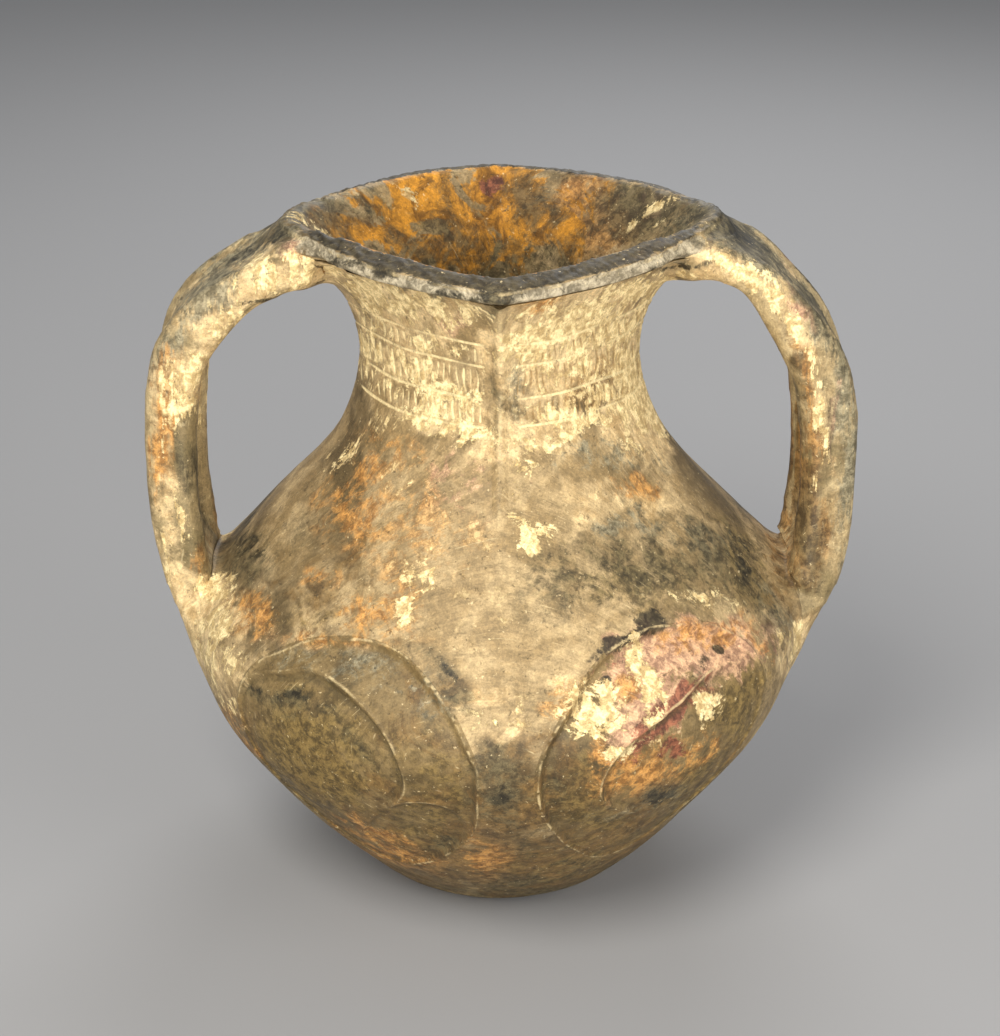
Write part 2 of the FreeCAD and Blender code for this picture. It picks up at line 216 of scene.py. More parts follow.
def jarSkin(part):
    # the skin of the upper or the lower part of the jar; the upper one is finer and also carries the whole handles
    plan = clay[part]
    bm = mergedCopy(nodes)
    bm.from_mesh(plugRing())
    for middle, sizes in wads:
        wad(bm, middle, sizes)
    mesh = remeshed(meshOf(bm, part), plan["voxel"] * millimetre)
    heights = placesOf(mesh)[:, 2]
    sideways = np.abs(placesOf(mesh)[:, 0])
    if part == "upper":
        isWall = (sideways < clay["handleSide"]) | (heights < clay["handleFoot"])
        spare = (heights < clay["split"] - clay["splitSpare"]) & isWall
    else:
        spare = heights > clay["split"] + clay["splitSpare"]
    bm = bmeshOf(mesh)
    bmesh.ops.delete(bm, geom=[vert for vert, isSpare in zip(bm.verts, spare) if isSpare], context="VERTS")
    bm.to_mesh(mesh)
    points = placesOf(mesh)
    print("skin of the", part, "part:", len(points), "points")
    wallGap = gapsTo(wallTree, points)
    handleGap = gapsTo(handleTree, points)
    setValues(mesh, "wallGap", wallGap)
    setValues(mesh, "handleGap", handleGap)
    bm.free()
    bm = bmeshOf(mesh)
    bpy.data.meshes.remove(mesh)
    smooth(bm, [vert for vert in bm.verts if not vert.is_boundary], plan["softRounds"])
    verts = list(bm.verts)
    for width, rounds in plan["filletRounds"]:
        near = [verts[i] for i in np.flatnonzero(wallGap + handleGap < width) if not verts[i].is_boundary]
        smooth(bm, near, rounds)
    for middle, reach, rounds in thumbed:
        apart = (points * np.where([True, False, False], np.sign(points[:, :1]), 1.0) - middle) / reach
        smooth(bm, [verts[i] for i in np.flatnonzero((apart ** 2).sum(1) < 1.0) if not verts[i].is_boundary], rounds)
    mesh = meshOf(bm, part)
    for axis, name in enumerate(("outX", "outY", "outZ")):
        setValues(mesh, name, normalsOf(mesh)[:, axis])
    return mesh


upperSkin = jarSkin("upper")
lowerSkin = jarSkin("lower")
print("fillets smoothed")


def laidOut(mesh, field, axis):
    # lays a field on one axis and remembers the true places, so that a plane can cut along any smooth field
    points = placesOf(mesh)
    setValues(mesh, "kept", points[:, axis])
    points[:, axis] = field
    setPlaces(mesh, points)


def putBack(mesh, axis):
    points = placesOf(mesh)
    points[:, axis] = valuesOf(mesh, "kept")
    setPlaces(mesh, points)


def axisVector(axis):
    return [1.0 if i == axis else 0.0 for i in range(3)]


def sliced(bm, axis, side=0):
    # cuts across the zero of an axis, and drops what lies on the far side of it where a side is wanted
    return bmesh.ops.bisect_plane(bm, geom=bm.verts[:] + bm.edges[:] + bm.faces[:], dist=cutSlack, plane_co=(0, 0, 0),
                                  plane_no=axisVector(axis), clear_inner=side > 0, clear_outer=side < 0)


def halfOf(mesh, axis, side):
    bm = bmeshOf(mesh)
    cut = sliced(bm, axis, side)
    rim = [edge for edge in cut["geom_cut"] if isinstance(edge, bmesh.types.BMEdge) and edge.is_boundary]
    if rim:
        bmesh.ops.triangle_fill(bm, use_beauty=True, use_dissolve=False, edges=rim, normal=axisVector(axis))
    for edge in rim:
        edge.smooth = False
    stillOpen = [edge for edge in rim if edge.is_valid and edge.is_boundary]
    if stillOpen:
        bmesh.ops.holes_fill(bm, edges=stillOpen, sides=0)
    half = meshOf(bm, mesh.name)
    putBack(half, axis)
    bm = bmeshOf(half)
    bmesh.ops.recalc_face_normals(bm, faces=bm.faces)
    bm.to_mesh(half)
    bm.free()
    return half


def parted(mesh, field, axis):
    # the half above the field's zero line and the half below it, both closed
    laidOut(mesh, field, axis)
    halves = halfOf(mesh, axis, 1), halfOf(mesh, axis, -1)
    bpy.data.meshes.remove(mesh)
    return halves


def inlaid(mesh, field, axis, depth, heading):
    # cuts patches out of the outer skin as a piece of their own and leaves beds for them in the wall
    laidOut(mesh, field, axis)
    bm = bmeshOf(mesh)
    sliced(bm, axis)
    flag = bm.faces.layers.int.get("patch") or bm.faces.layers.int.new("patch")
    for face in bm.faces:
        face[flag] = face.calc_center_median()[axis] > 0
    bm.to_mesh(mesh)
    bm.free()
    putBack(mesh, axis)
    halves = []
    for isPatch in (True, False):
        bm = bmeshOf(mesh)
        flag = bm.faces.layers.int["patch"]
        patch = [face for face in bm.faces if face[flag]]
        if isPatch:
            bmesh.ops.delete(bm, geom=[face for face in bm.faces if not face[flag]], context="FACES")
        sunk = bmesh.ops.extrude_face_region(bm, geom=patch, use_keep_orig=True)["geom"]
        for item in sunk:
            if isinstance(item, bmesh.types.BMVert):
                inward = Vector((item.co.x * heading[0], item.co.y * heading[1], 0.0))
                item.co -= inward.normalized() * depth * millimetre
            elif isinstance(item, bmesh.types.BMFace):
                item[flag] = 2
        if not isPatch:
            bmesh.ops.delete(bm, geom=patch, context="FACES")
        for edge in bm.edges:
            edge.smooth = edge.smooth and not (edge.is_manifold and edge.calc_face_angle() > sharpAngle)
        bmesh.ops.recalc_face_normals(bm, faces=bm.faces)
        halves.append(meshOf(bm, mesh.name))
    bpy.data.meshes.remove(mesh)
    return halves


joints = {
    "base": 8.0,
    "lower": 34.0,
    "belly": 134.0,
    "neckFoot": 172.0,
    "lipDrop": 9.6,
    "handleSkin": 1.2,
    "handleReach": 3.0,
    "flangeSkin": 0.5,
    "flangeReach": 3.6,
    "flangeSink": 0.45,
}


mouth = {"low": 242.0, "saddle": 5.0, "halfWidth": 80.0, "bend": 1.6}
# half the width of the strap between the two rolled edges of a handle, by height
creases = {
    "heights": [80, 92, 116, 137, 172, 200, 225, 235, 245],
    "halfWidths": [17.0, 14.0, 10.5, 8.6, 8.2, 9.0, 10.5, 12.0, 12.5],
}
bellyDegree = 1.9


def saddle(x):
    # height of the lip's top edge along the mouth: high over the handles, low at front and back
    return mouth["low"] + mouth["saddle"] * np.clip(np.abs(x) / mouth["halfWidth"], 0.0, 1.0) ** mouth["bend"]


def creaseHalf(z):
    return np.interp(z, creases["heights"], creases["halfWidths"])


def unrolled(points):
    # millimetres along the belly from the middle of the front, or of the back, which is the front turned half round
    turned = np.where(points[:, 1] > 0, -1.0, 1.0)
    bearing = np.degrees(np.arctan2(points[:, 0] * turned, -points[:, 1] * turned))
    return bearing * bellyDegree, points[:, 2]


# outlines of the two whorls as (along, height) in millimetres, laid out from the middle of the front
whorlOutline = {
    "left": [
        (-6, 90), (-10, 101), (-15, 110), (-25, 118), (-36, 124), (-51, 126), (-68, 124), (-86, 118), (-97, 110),
        (-102, 98), (-103, 84), (-101, 68), (-95, 50), (-82, 34), (-65, 27), (-43, 30), (-28, 38), (-17, 48), (-9, 63),
        (-7, 77),
    ],
    "right": [
        (12, 79), (11, 90), (13, 97), (17, 104), (24, 113), (33, 120), (43, 125), (58, 127), (74, 126), (88, 124),
        (100, 119), (107, 112), (109, 104), (107, 90), (104, 76), (98, 60), (88, 45), (76, 34), (62, 30), (50, 32),
        (37, 40), (23, 56), (16, 68),
    ],
}


def inwardFrom(outline, along, height):
    # distance inward from a rounded outline, measured towards its middle
    line = np.array(outline, dtype=float)
    middle = (line.max(0) + line.min(0)) / 2
    out = line - middle
    turns = np.arctan2(out[:, 1], out[:, 0])
    grid = np.linspace(-math.pi, math.pi, 181)
    order = np.argsort(turns)
    sizes = np.interp(grid, turns[order], np.hypot(out[:, 0], out[:, 1])[order], period=2 * math.pi)
    for turn in range(6):
        sizes = (np.roll(sizes, 1) + sizes * 2 + np.roll(sizes, -1)) / 4
        sizes[0] = sizes[-1] = (sizes[1] + sizes[-2]) / 2
    apart = np.hypot(along - middle[0], height - middle[1])
    return np.interp(np.arctan2(height - middle[1], along - middle[0]), grid, sizes) - apart


whorlBed = 4.0
seam = {"half": 2.6, "low": 158.5, "high": 230.0, "bed": 2.0}


def whorlField(mesh):
    along, height = unrolled(placesOf(mesh))
    field = np.maximum(*(inwardFrom(outline, along, height) for outline in whorlOutline.values()))
    return np.where(outerSkin(mesh) & (height < 140.0), np.maximum(field, outOfField), outOfField)


def seamField(mesh):
    x, y, z = placesOf(mesh).T
    field = np.minimum(seam["half"] - np.abs(x), np.minimum(z - seam["low"], seam["high"] - z))
    return np.where(outerSkin(mesh) & (z > 150.0), np.maximum(field, outOfField), outOfField)


def quarter(mesh, wanted):
    # the part of a mesh that stands on one side of the jar
    bm = bmeshOf(mesh)
    away = [vert for vert in bm.verts if vert.co.x * wanted[0] < 0 or vert.co.y * wanted[1] < 0]
    bmesh.ops.delete(bm, geom=away, context="VERTS")
    return meshOf(bm, mesh.name)


pieces = {}


def handleField(mesh, sign, skin, reach):
    ofHandle = np.minimum(valuesOf(mesh, "wallGap") - skin, reach - valuesOf(mesh, "handleGap"))
    return np.where(placesOf(mesh)[:, 0] * sign > 20.0, ofHandle, -3.0)


def besideHandle(mesh, sign):
    # what is left of a skin when one handle is taken off
    laidOut(mesh, handleField(mesh, sign, joints["handleSkin"], joints["handleReach"]), across)
    rest = halfOf(mesh, across, -1)
    bpy.data.meshes.remove(mesh)
    return rest


def handleOf(mesh, sign):
    # one handle with a thin flange round its root and its foot
    whole = mesh.copy()
    laidOut(whole, handleField(whole, sign, joints["flangeSkin"], joints["flangeReach"]), across)
    handle = halfOf(whole, across, 1)
    bpy.data.meshes.remove(whole)
    return handle


def flangeSunk(mesh, sign):
    # slips the flange under the wall's skin
    under = handleField(mesh, sign, joints["handleSkin"], joints["handleReach"])
    sunk = joints["flangeSink"] * ramp(0.0, -0.5, under)
    setPlaces(mesh, placesOf(mesh) - keptNormals(mesh) * sunk[:, None])


for side, sign in (("left", -1.0), ("right", 1.0)):
    handle = handleOf(upperSkin, sign)
    upperSkin = besideHandle(upperSkin, sign)
    lowerSkin = besideHandle(lowerSkin, sign)
    points = placesOf(handle)
    pieces["handle_%s_front_edge" % side], rest = parted(handle, -points[:, 1] - creaseHalf(points[:, 2]), deep)
    points = placesOf(rest)
    backEdge, strap = parted(rest, points[:, 1] - creaseHalf(points[:, 2]), deep)
    pieces["handle_%s_back_edge" % side], pieces["handle_%s_strap" % side] = backEdge, strap
    for part in handleParts:
        flangeSunk(pieces["handle_%s_%s" % (side, part)], sign)
print("handles parted")

patches, lowerSkin = inlaid(lowerSkin, whorlField(lowerSkin), deep, whorlBed, (1, 1))
pieces["whorl_front_left"] = quarter(patches, (-1, -1))
pieces["whorl_front_right"] = quarter(patches, (1, -1))
pieces["whorl_back_left"] = quarter(patches, (-1, 1))
pieces["whorl_back_right"] = quarter(patches, (1, 1))
strips, upperSkin = inlaid(upperSkin, seamField(upperSkin), deep, seam["bed"], (0, 1))
pieces["neck_seam_front"] = quarter(strips, (0, -1))
pieces["neck_seam_back"] = quarter(strips, (0, 1))
print("whorls and seams let in")

points = placesOf(upperSkin)
pieces["rim_lip"], wall = parted(upperSkin, points[:, 2] - saddle(points[:, 0]) + joints["lipDrop"], upward)
neck, wall = parted(wall, placesOf(wall)[:, 2] - joints["neckFoot"], upward)
pieces["shoulder"], spareWall = parted(wall, placesOf(wall)[:, 2] - joints["belly"], upward)
spareTop, wall = parted(lowerSkin, placesOf(lowerSkin)[:, 2] - joints["belly"], upward)
bpy.data.meshes.remove(spareWall)
bpy.data.meshes.remove(spareTop)
pieces["belly"], wall = parted(wall, placesOf(wall)[:, 2] - joints["lower"], upward)
pieces["lower_wall"], pieces["base_disc"] = parted(wall, placesOf(wall)[:, 2] - joints["base"], upward)
pieces["neck_right"], pieces["neck_left"] = parted(neck, placesOf(neck)[:, 0], across)
print("walls parted")


def refined(mesh, chosen, cuts, rounds):
    # splits the chosen faces finer and softens the new points, but never moves a joint's edge
    bm = bmeshOf(mesh)
    faces = [face for face, isIn in zip(bm.faces, chosen) if isIn]
    edges = list({edge for face in faces for edge in face.edges})
    bmesh.ops.subdivide_edges(bm, edges=edges, cuts=cuts, use_grid_fill=True)
    bm.normal_update()
    sharp = {vert for edge in bm.edges if not edge.smooth for vert in edge.verts}
    soft = [vert for vert in bm.verts if vert not in sharp]
    smooth(bm, soft, rounds)
    bm.to_mesh(mesh)
    bm.free()


def facesWhere(mesh, chosenVerts):
    # true for the faces whose corners are all chosen
    corners = np.empty(len(mesh.loops), dtype=int)
    mesh.loops.foreach_get("vertex_index", corners)
    starts = np.empty(len(mesh.polygons), dtype=int)
    mesh.polygons.foreach_get("loop_start", starts)
    return np.logical_and.reduceat(chosenVerts[corners], starts)


def swept(mesh):
    # drops loose edges and points that the cuts have left behind
    bm = bmeshOf(mesh)
    bmesh.ops.delete(bm, geom=[edge for edge in bm.edges if edge.is_wire], context="EDGES")
    bmesh.ops.delete(bm, geom=[vert for vert in bm.verts if not vert.link_faces], context="VERTS")
    bm.to_mesh(mesh)
    bm.free()


def finerPart(name, mesh):
    # the points round which a piece is split finer, the cuts for each edge and the rounds of softening
    x, y, z = placesOf(mesh).T
    if name.startswith("whorl"):
        return outerSkin(mesh), 2, 4
    if name.startswith("neck"):
        return outerSkin(mesh) & (z > 180) & (z < 226) & (y < 0), 2, 4
    if name == "rim_lip":
        return outerSkin(mesh) & (z < saddle(x) + 1.0), 1, 2
    if name == "belly":
        return outerSkin(mesh) & (y < -10) & (z > 40) & (whorlField(mesh) < -0.8), 1, 2
    return None


for name, mesh in pieces.items():
    swept(mesh)
    finer = finerPart(name, mesh)
    if finer:
        chosen, cuts, rounds = finer
        refined(mesh, facesWhere(mesh, chosen), cuts, rounds)
    print(name, len(mesh.vertices))
print("skins refined")


def waves(points, length, seed, count=14):
    # an even smooth noise of about -1 to 1 made of crossing sine waves
    dice = np.random.default_rng(seed)
    total = np.zeros(len(points))
    for turn in range(count):
        heading = dice.normal(size=3)
        heading *= 2 * math.pi / (length * dice.uniform(0.7, 1.5)) / np.linalg.norm(heading)
        total += np.sin(points @ heading + dice.uniform(0, 2 * math.pi))
    return total / math.sqrt(count) / 1.3


def bell(offsets, width):
    return np.exp(-(offsets / width) ** 2)


def facingShare(along, height, middle, angle):
    # 1 on the side of a middle that the angle points to and -1 on the far side
    turn = math.radians(angle)
    apart = np.maximum(np.hypot(along - middle[0], height - middle[1]), 1.0)
    return ((along - middle[0]) * math.cos(turn) + (height - middle[1]) * math.sin(turn)) / apart


whorlCut = {
    "left": {
        "ring": {"depth": 1.7, "middle": (-56.0, 77.0), "side": 35.0, "fade": (-0.6, 0.5)},
        "dish": [
            (-101, 100), (-93, 106), (-83, 110), (-71, 113), (-62, 112), (-52, 109), (-42, 104), (-36, 97), (-33, 88),
            (-34, 78), (-40, 69), (-51, 58), (-64, 52), (-80, 48), (-93, 55), (-100, 68), (-102, 84),
        ],
        "depth": 2.5, "deepSide": 62.0, "fade": (-0.75, 0.75),
    },
    "right": {
        "ring": {"depth": 2.6, "middle": (62.0, 80.0), "side": 120.0, "fade": (-0.45, 0.5)},
        "dish": [
            (108, 104), (97, 108), (84, 110), (73, 108), (66, 105), (57, 102), (49, 99), (42, 95), (37, 88), (35, 80),
            (37, 74), (43, 68), (51, 63), (61, 60), (72, 60), (84, 64), (95, 74), (104, 88),
        ],
        "depth": 2.2, "deepSide": 135.0, "fade": (-0.8, 0.7),
    },
}
thirdDish = [
    (-55, 52), (-48, 61), (-40, 69), (-31, 73), (-24, 74), (-17, 71), (-13, 63), (-17, 50), (-28, 38), (-46, 31),
    (-60, 34), (-62, 44),
]
# heights and depths in millimetres of the line round a whorl, its ground and the worn edges inside it, and how
# strongly the painted shadow beside the edges darkens the clay
worn = {"rim": 0.42, "ground": 0.45, "third": 1.0, "edge": 0.25, "paintedShadow": 0.8}


def whorlRelief(points, side):
    # millimetres cut into a whorl, and a value for the paint: 1 where its worn edges stand up, pale as wear and
    # painted highlight, down to -1 for the painted shadow beside them
    along, height = unrolled(points)
    along = along + waves(points, 26.0, 3) * 0.7
    height = height + waves(points, 24.0, 4) * 0.7
    cut = whorlCut[side]
    ring = cut["ring"]
    fromRim = inwardFrom(whorlOutline[side], along, height)
    intoDish = inwardFrom(cut["dish"], along, height)
    rim = bell(fromRim - 0.8, 0.55)
    outside = np.maximum(-intoDish, 0.0)
    share = outside / np.maximum(outside + np.maximum(fromRim, 0.0), 0.5)
    sector = ramp(*ring["fade"], facingShare(along, height, ring["middle"], ring["side"]))
    rise = worn["rim"] * rim * (0.65 + 0.4 * waves(points, 20.0, 9)) - worn["ground"] * ramp(1.0, 2.4, fromRim)
    rise -= ring["depth"] * sector * share * ramp(1.1, 3.4, fromRim)
    outline = np.array(cut["dish"], dtype=float)
    middle = outline.mean(0)
    reach = np.hypot(*(outline.max(0) - outline.min(0))) / 2.8
    fromMiddle = np.hypot(along - middle[0], height - middle[1])
    slope = fromMiddle / reach * facingShare(along, height, middle, cut["deepSide"])
    strength = ramp(*cut["fade"], slope)
    rise -= cut["depth"] * strength * ramp(-0.3, 1.5, intoDish)
    arris = bell(intoDish + 0.6, 0.6) * (0.4 + 0.6 * strength)
    # painted shadow just inside the whorl's outer line and under the deep edge of the dish
    rimShadow = 0.5 * bell(fromRim - 2.6, 1.0) * np.clip(0.5 + waves(points, 25.0, 45), 0, 1)
    paintedShadow = np.maximum(bell(intoDish - 1.9, 1.6) * strength, rimShadow)
    if side == "left":
        intoThird = inwardFrom(thirdDish, along, height)
        upper = ramp(-0.5, 0.6, facingShare(along, height, (-36.0, 52.0), 110.0))
        free = ramp(1.5, -0.5, intoDish)
        rise -= worn["third"] * ramp(-0.3, 1.6, intoThird) * (0.3 + 0.7 * upper) * free
        # the third dish's edge gets the same pale wear and painted highlight, with painted shadow below it
        arris = np.maximum(arris, bell(intoThird + 0.6, 0.7) * upper * free * 0.8)
        paintedShadow = np.maximum(paintedShadow, bell(intoThird - 1.6, 1.2) * upper * free)
    rise += worn["edge"] * arris
    # the pale line on the rim and the edges, partly wear and partly painted highlight, broken up in patches
    paleBreakup = np.clip(0.75 + 0.45 * waves(points, 17.0, 41) + 0.25 * waves(points, 5.0, 42), 0.3, 1.0)
    bright = np.maximum(rim, arris) * paleBreakup
    return rise * ramp(0.0, 0.8, fromRim), np.clip(bright - worn["paintedShadow"] * paintedShadow * (1 - arris), -1.0, 1.0)


comb = {
    "rings": (187.4, 196.5, 208.5, 216.5),
    "ringDeep": 0.35,
    "ringWide": 0.55,
    "strokeStep": 2.2,
    "strokeDeep": 0.28,
    "strokeWide": 0.4,
}


def combCut(points):
    # 0 to 1 where the comb has cut the neck: slanted rings and rows of short upright strokes between them
    x, y, z = points.T
    run = x * np.where(y > 0, -1.0, 1.0)
    lift = z + 0.05 * np.abs(x) + waves(points, 40.0, 11) * 0.7
    clear = ramp(3.5, 7.0, np.abs(x)) * ramp(62.0, 50.0, np.abs(x))
    rings = sum(bell(lift - height, comb["ringWide"]) for height in comb["rings"])
    shade = waves(points, 9.0, 12) * 0.5
    along = run + lift * 0.08 + shade * 0.8
    cell = along / comb["strokeStep"]
    nearStroke = (cell - np.round(cell)) * comb["strokeStep"]
    inBand = sum(ramp(low + 0.8, low + 2.0, lift) * ramp(high - 0.8, high - 2.4, lift)
                 for low, high in zip(comb["rings"][:-1], comb["rings"][1:]))
    pressed = np.clip(0.65 + 0.6 * waves(points, 7.0, 13), 0.0, 1.0)
    strokes = bell(nearStroke, comb["strokeWide"]) * inBand * pressed
    rings = rings * np.clip(0.8 + 0.5 * waves(points, 15.0, 14), 0, 1)
    return clear * np.clip(rings, 0, 1), clear * strokes


# how far the inner faces of the handles stand out, and between which heights
innerFace = {
    "left": {"depth": 2.8, "foot": (84, 128), "top": (232, 200)},
    "right": {"depth": 4.2, "foot": (80, 112), "top": (226, 196)},
}


def thickened(name, mesh, points, normals):
    # the inner faces of the handles stand closer to the jar than the plan says; the wall beside them is carried along
    x, y, z = points.T
    inward = ramp(0.15, -0.7, normals[:, 0] * np.sign(x))
    spans = {side: ramp(*face["foot"], z) * ramp(*face["top"], z) for side, face in innerFace.items()}
    near = 1.0 if name.startswith("handle") else ramp(8.0, 3.0, valuesOf(mesh, "handleGap"))
    depth = np.where(x > 0, innerFace["right"]["depth"], innerFace["left"]["depth"])
    return near * inward * np.where(x > 0, spans["right"], spans["left"]) * depth


# heights and depths in millimetres of what the hand has left on the clay
marks = {
    "swell": 0.35,
    "dimple": 0.05,
    "sink": 0.3,
    "ridge": 1.0,
    "ridgeWidth": 2.0,
    "crease": 0.7,
    "handleDimple": 0.1,
    "lipDimple": 0.06,
    "lipSwell": 0.2,
    "facet": 0.8,
    "facetSink": 0.4,
    "undercut": 0.55,
    "lipEdge": 0.25,
    "pitting": 0.25,
}


def relief(name, mesh):
    points = placesOf(mesh)
    normals = keptNormals(mesh)
    outside = outerSkin(mesh)
    x, y, z = points.T
    rise = marks["swell"] * waves(points, 42.0, 1) + marks["dimple"] * waves(points, 11.0, 2) - marks["sink"]
    if name.startswith("whorl"):
        side = "left" if name in ("whorl_front_left", "whorl_back_right") else "right"
        cut, edges = whorlRelief(points, side)
        rise += cut
        # edges: pale worn edges with painted highlight above zero, painted shadow below zero
        setValues(mesh, "edges", edges * outside)
    if name.startswith("neck"):
        rings, strokes = combCut(points)
        ridge = marks["ridge"] * bell(x, marks["ridgeWidth"]) * ramp(158, 164, z) * outside
        rise += outside * (ridge - comb["ringDeep"] * rings - comb["strokeDeep"] * strokes)
        filling = np.where(x < 0, 1.0, -1.0)
        setValues(mesh, "combed", np.clip(rings * 1.1 + strokes * filling, -1, 1) * outside)
        paleBreakup = np.clip(0.6 + 0.5 * waves(points, 9.0, 44), 0, 1)
        setValues(mesh, "edges", outside * bell(x + 0.5 * waves(points, 30.0, 43), 0.8) * paleBreakup)
    if name.startswith("handle"):
        crease = np.abs(np.abs(y) - creaseHalf(z))
        fade = ramp(92, 110, z) * ramp(236, 226, z)
        pressed = -marks["crease"] * bell(crease, 1.0) * fade * (0.6 + 0.5 * waves(points, 18.0, 5))
        rise += pressed + marks["handleDimple"] * waves(points, 14.0, 6)
    rise += thickened(name, mesh, points, normals)
    if name == "rim_lip":
        drop = z - saddle(x)
        rise += marks["lipDimple"] * waves(points, 7.0, 7) + marks["lipSwell"] * waves(points, 24.0, 8)
        band = outside * ramp(80, 66, np.abs(x))
        facet = ramp(-3.9, -2.9, drop)
        rise += band * (marks["facet"] * facet - marks["facetSink"] - marks["undercut"] * bell(drop + 9.0, 0.8)
                        + marks["lipEdge"] * bell(drop + 3.1, 0.6))
        rise += outside * marks["pitting"] * waves(points, 3.2, 15) * facet
        # a pale line along the lip's facet, partly wear and partly painted highlight
        paleBreakup = np.clip(0.6 + 0.6 * waves(points, 12.0, 16), 0, 1)
        setValues(mesh, "edges", band * 0.8 * bell(drop + 3.5, 0.5) * paleBreakup)
    return points + normals * rise[:, None]


# hand-made irregularities as (middle, reach, push) in millimetres
handPushes = [
    ((0, 70, 240), (75, 22, 16), (0, 0, 2.2)),
    ((-62, 45, 242), (18, 25, 14), (0, 0, -2.0)),
    ((-80, 0, 247), (9, 40, 7), (0, 0, -2.2)),
    ((76, 0, 247), (9, 40, 7), (0, 0, 1.2)),
    ((-112, 0, 208), (20, 60, 17), (-2.0, 0, 0.3)),
    ((-90, 0, 240), (16, 60, 9), (0.8, 0, -1.8)),
    ((-68, 0, 226), (20, 60, 8), (0, 0, -4.2)),
    ((60, 0, 226), (7, 60, 6), (0, 0, -2.4)),
    ((86, 0, 222), (13, 60, 10), (0.4, 0, 4.0)),
    ((104, 0, 228), (15, 60, 13), (-1.2, 0, -0.6)),
    ((118, 0, 150), (16, 60, 50), (1.4, 0, 0)),
    ((80, 0, 44), (40, 120, 34), (-1.4, 0, 0)),
    ((112, 0, 108), (16, 60, 20), (2.0, 0, 0)),
]


# the bowl leans a little to the left, and the shoulder is slimmer at its sides than the plan
body = {
    "lean": 1.5,
    "leanHeights": (6, 40, 95, 128),
    "leanFrom": 25,
    "slimLeft": (150.0, 4.6),
    "slimRight": (146.0, 5.6),
    "slimReach": 27.0,
    "slimSides": (15, 60, 90, 100),
}


def handShaped(points):
    x, y, z = points.T
    outward = np.hypot(x, y)
    low, full, fading, gone = body["leanHeights"]
    lean = -body["lean"] * ramp(low, full, z) * (1 - ramp(fading, gone, z)) * (x / np.maximum(outward, 30.0)) ** 2
    moved = points.copy()
    moved[:, 0] += lean * (outward > body["leanFrom"])
    sideways = np.abs(x)
    low, full, fading, gone = body["slimSides"]
    middle, depth = (np.where(x > 0, right, left) for left, right in zip(body["slimLeft"], body["slimRight"]))
    slimmer = bell(z - middle, body["slimReach"]) * ramp(low, full, sideways) * (1 - ramp(fading, gone, sideways))
    moved[:, 0] -= np.sign(x) * slimmer * depth
    for middle, reach, push in handPushes:
        near = np.exp(-(((points - middle) / reach) ** 2).sum(1))
        moved += near[:, None] * np.array(push)
    limits = np.array([list(corner) for corner in cadBounds]) / millimetre
    return np.clip(moved, limits[0] + 0.01, limits[1] - 0.01)


for name, mesh in pieces.items():
    setPlaces(mesh, handShaped(relief(name, mesh)))
print("reliefs carved")


# the camera that took the photo, with its reach and the picture's middle in pixels
photoView = {
    "place": (0.0, -0.774, 0.495),
    "tilt": 64.8,
    "lens": 83.4,
    "sensor": 36.0,
    "reach": 2400.0,
    "middle": (500.0, 518.0),
}
drifted = 16


def inPhoto(points, normals, isHandle):
    # where the points lie in the photo, in pixels, and how squarely they face it. The back is painted like the front.
    tilt = math.radians(90.0 - photoView["tilt"])
    mirrored = points.copy()
    turned = normals.copy()
    outward = points[:, 0] * normals[:, 0] + points[:, 1] * normals[:, 1] > 0
    hidden = points[:, 1] > 10 if isHandle else np.where(outward, points[:, 1] > 0, points[:, 1] < 0)
    mirrored[hidden, 1] *= -1
    turned[hidden, 1] *= -1
    away = mirrored - np.array(photoView["place"]) / millimetre
    ahead = away[:, 1] * math.cos(tilt) - away[:, 2] * math.sin(tilt)
    upright = away[:, 1] * math.sin(tilt) + away[:, 2] * math.cos(tilt)
    x = photoView["middle"][0] + photoView["reach"] * away[:, 0] / ahead
    y = photoView["middle"][1] - photoView["reach"] * upright / ahead
    facing = -(turned * away).sum(1) / np.linalg.norm(away, axis=1)
    drift = ramp(-10, 40, np.where(outward, points[:, 1], -points[:, 1]))
    x = x + drift * drifted * waves(points, 60.0, 21)
    y = y + drift * drifted * waves(points, 60.0, 22)
    return x, y, facing, outward


# stains as (x, y, half width, half height, strength) in photo pixels, and a turn in degrees where there is one
stains = {}
stains["brown"] = [
    (510, 862, 160, 40, 1.3), (512, 790, 34, 70, 1), (420, 800, 50, 40, 0.6, 20), (610, 830, 70, 40, 0.9, -30),
    (400, 850, 80, 30, 0.8, 20), (255, 740, 16, 60, 0.7, -30), (700, 800, 60, 30, 0.8, -40),
    (430, 720, 40, 40, 0.6, 30), (590, 790, 50, 60, 0.6), (330, 770, 60, 50, 0.5, 30), (168, 440, 14, 70, 0.7, 3),
    (812, 520, 24, 90, 1, 4), (790, 600, 26, 40, 0.8, -20), (800, 400, 14, 60, 0.8, -8), (420, 330, 50, 26, 0.5, 14),
    (440, 380, 60, 26, 0.45, 14), (575, 375, 30, 24, 0.7), (380, 560, 60, 40, 0.3, 20), (300, 600, 50, 40, 0.35),
    (600, 700, 70, 12, 0.3, -30), (790, 350, 12, 60, 0.6, -20), (230, 560, 30, 30, 0.4),
]
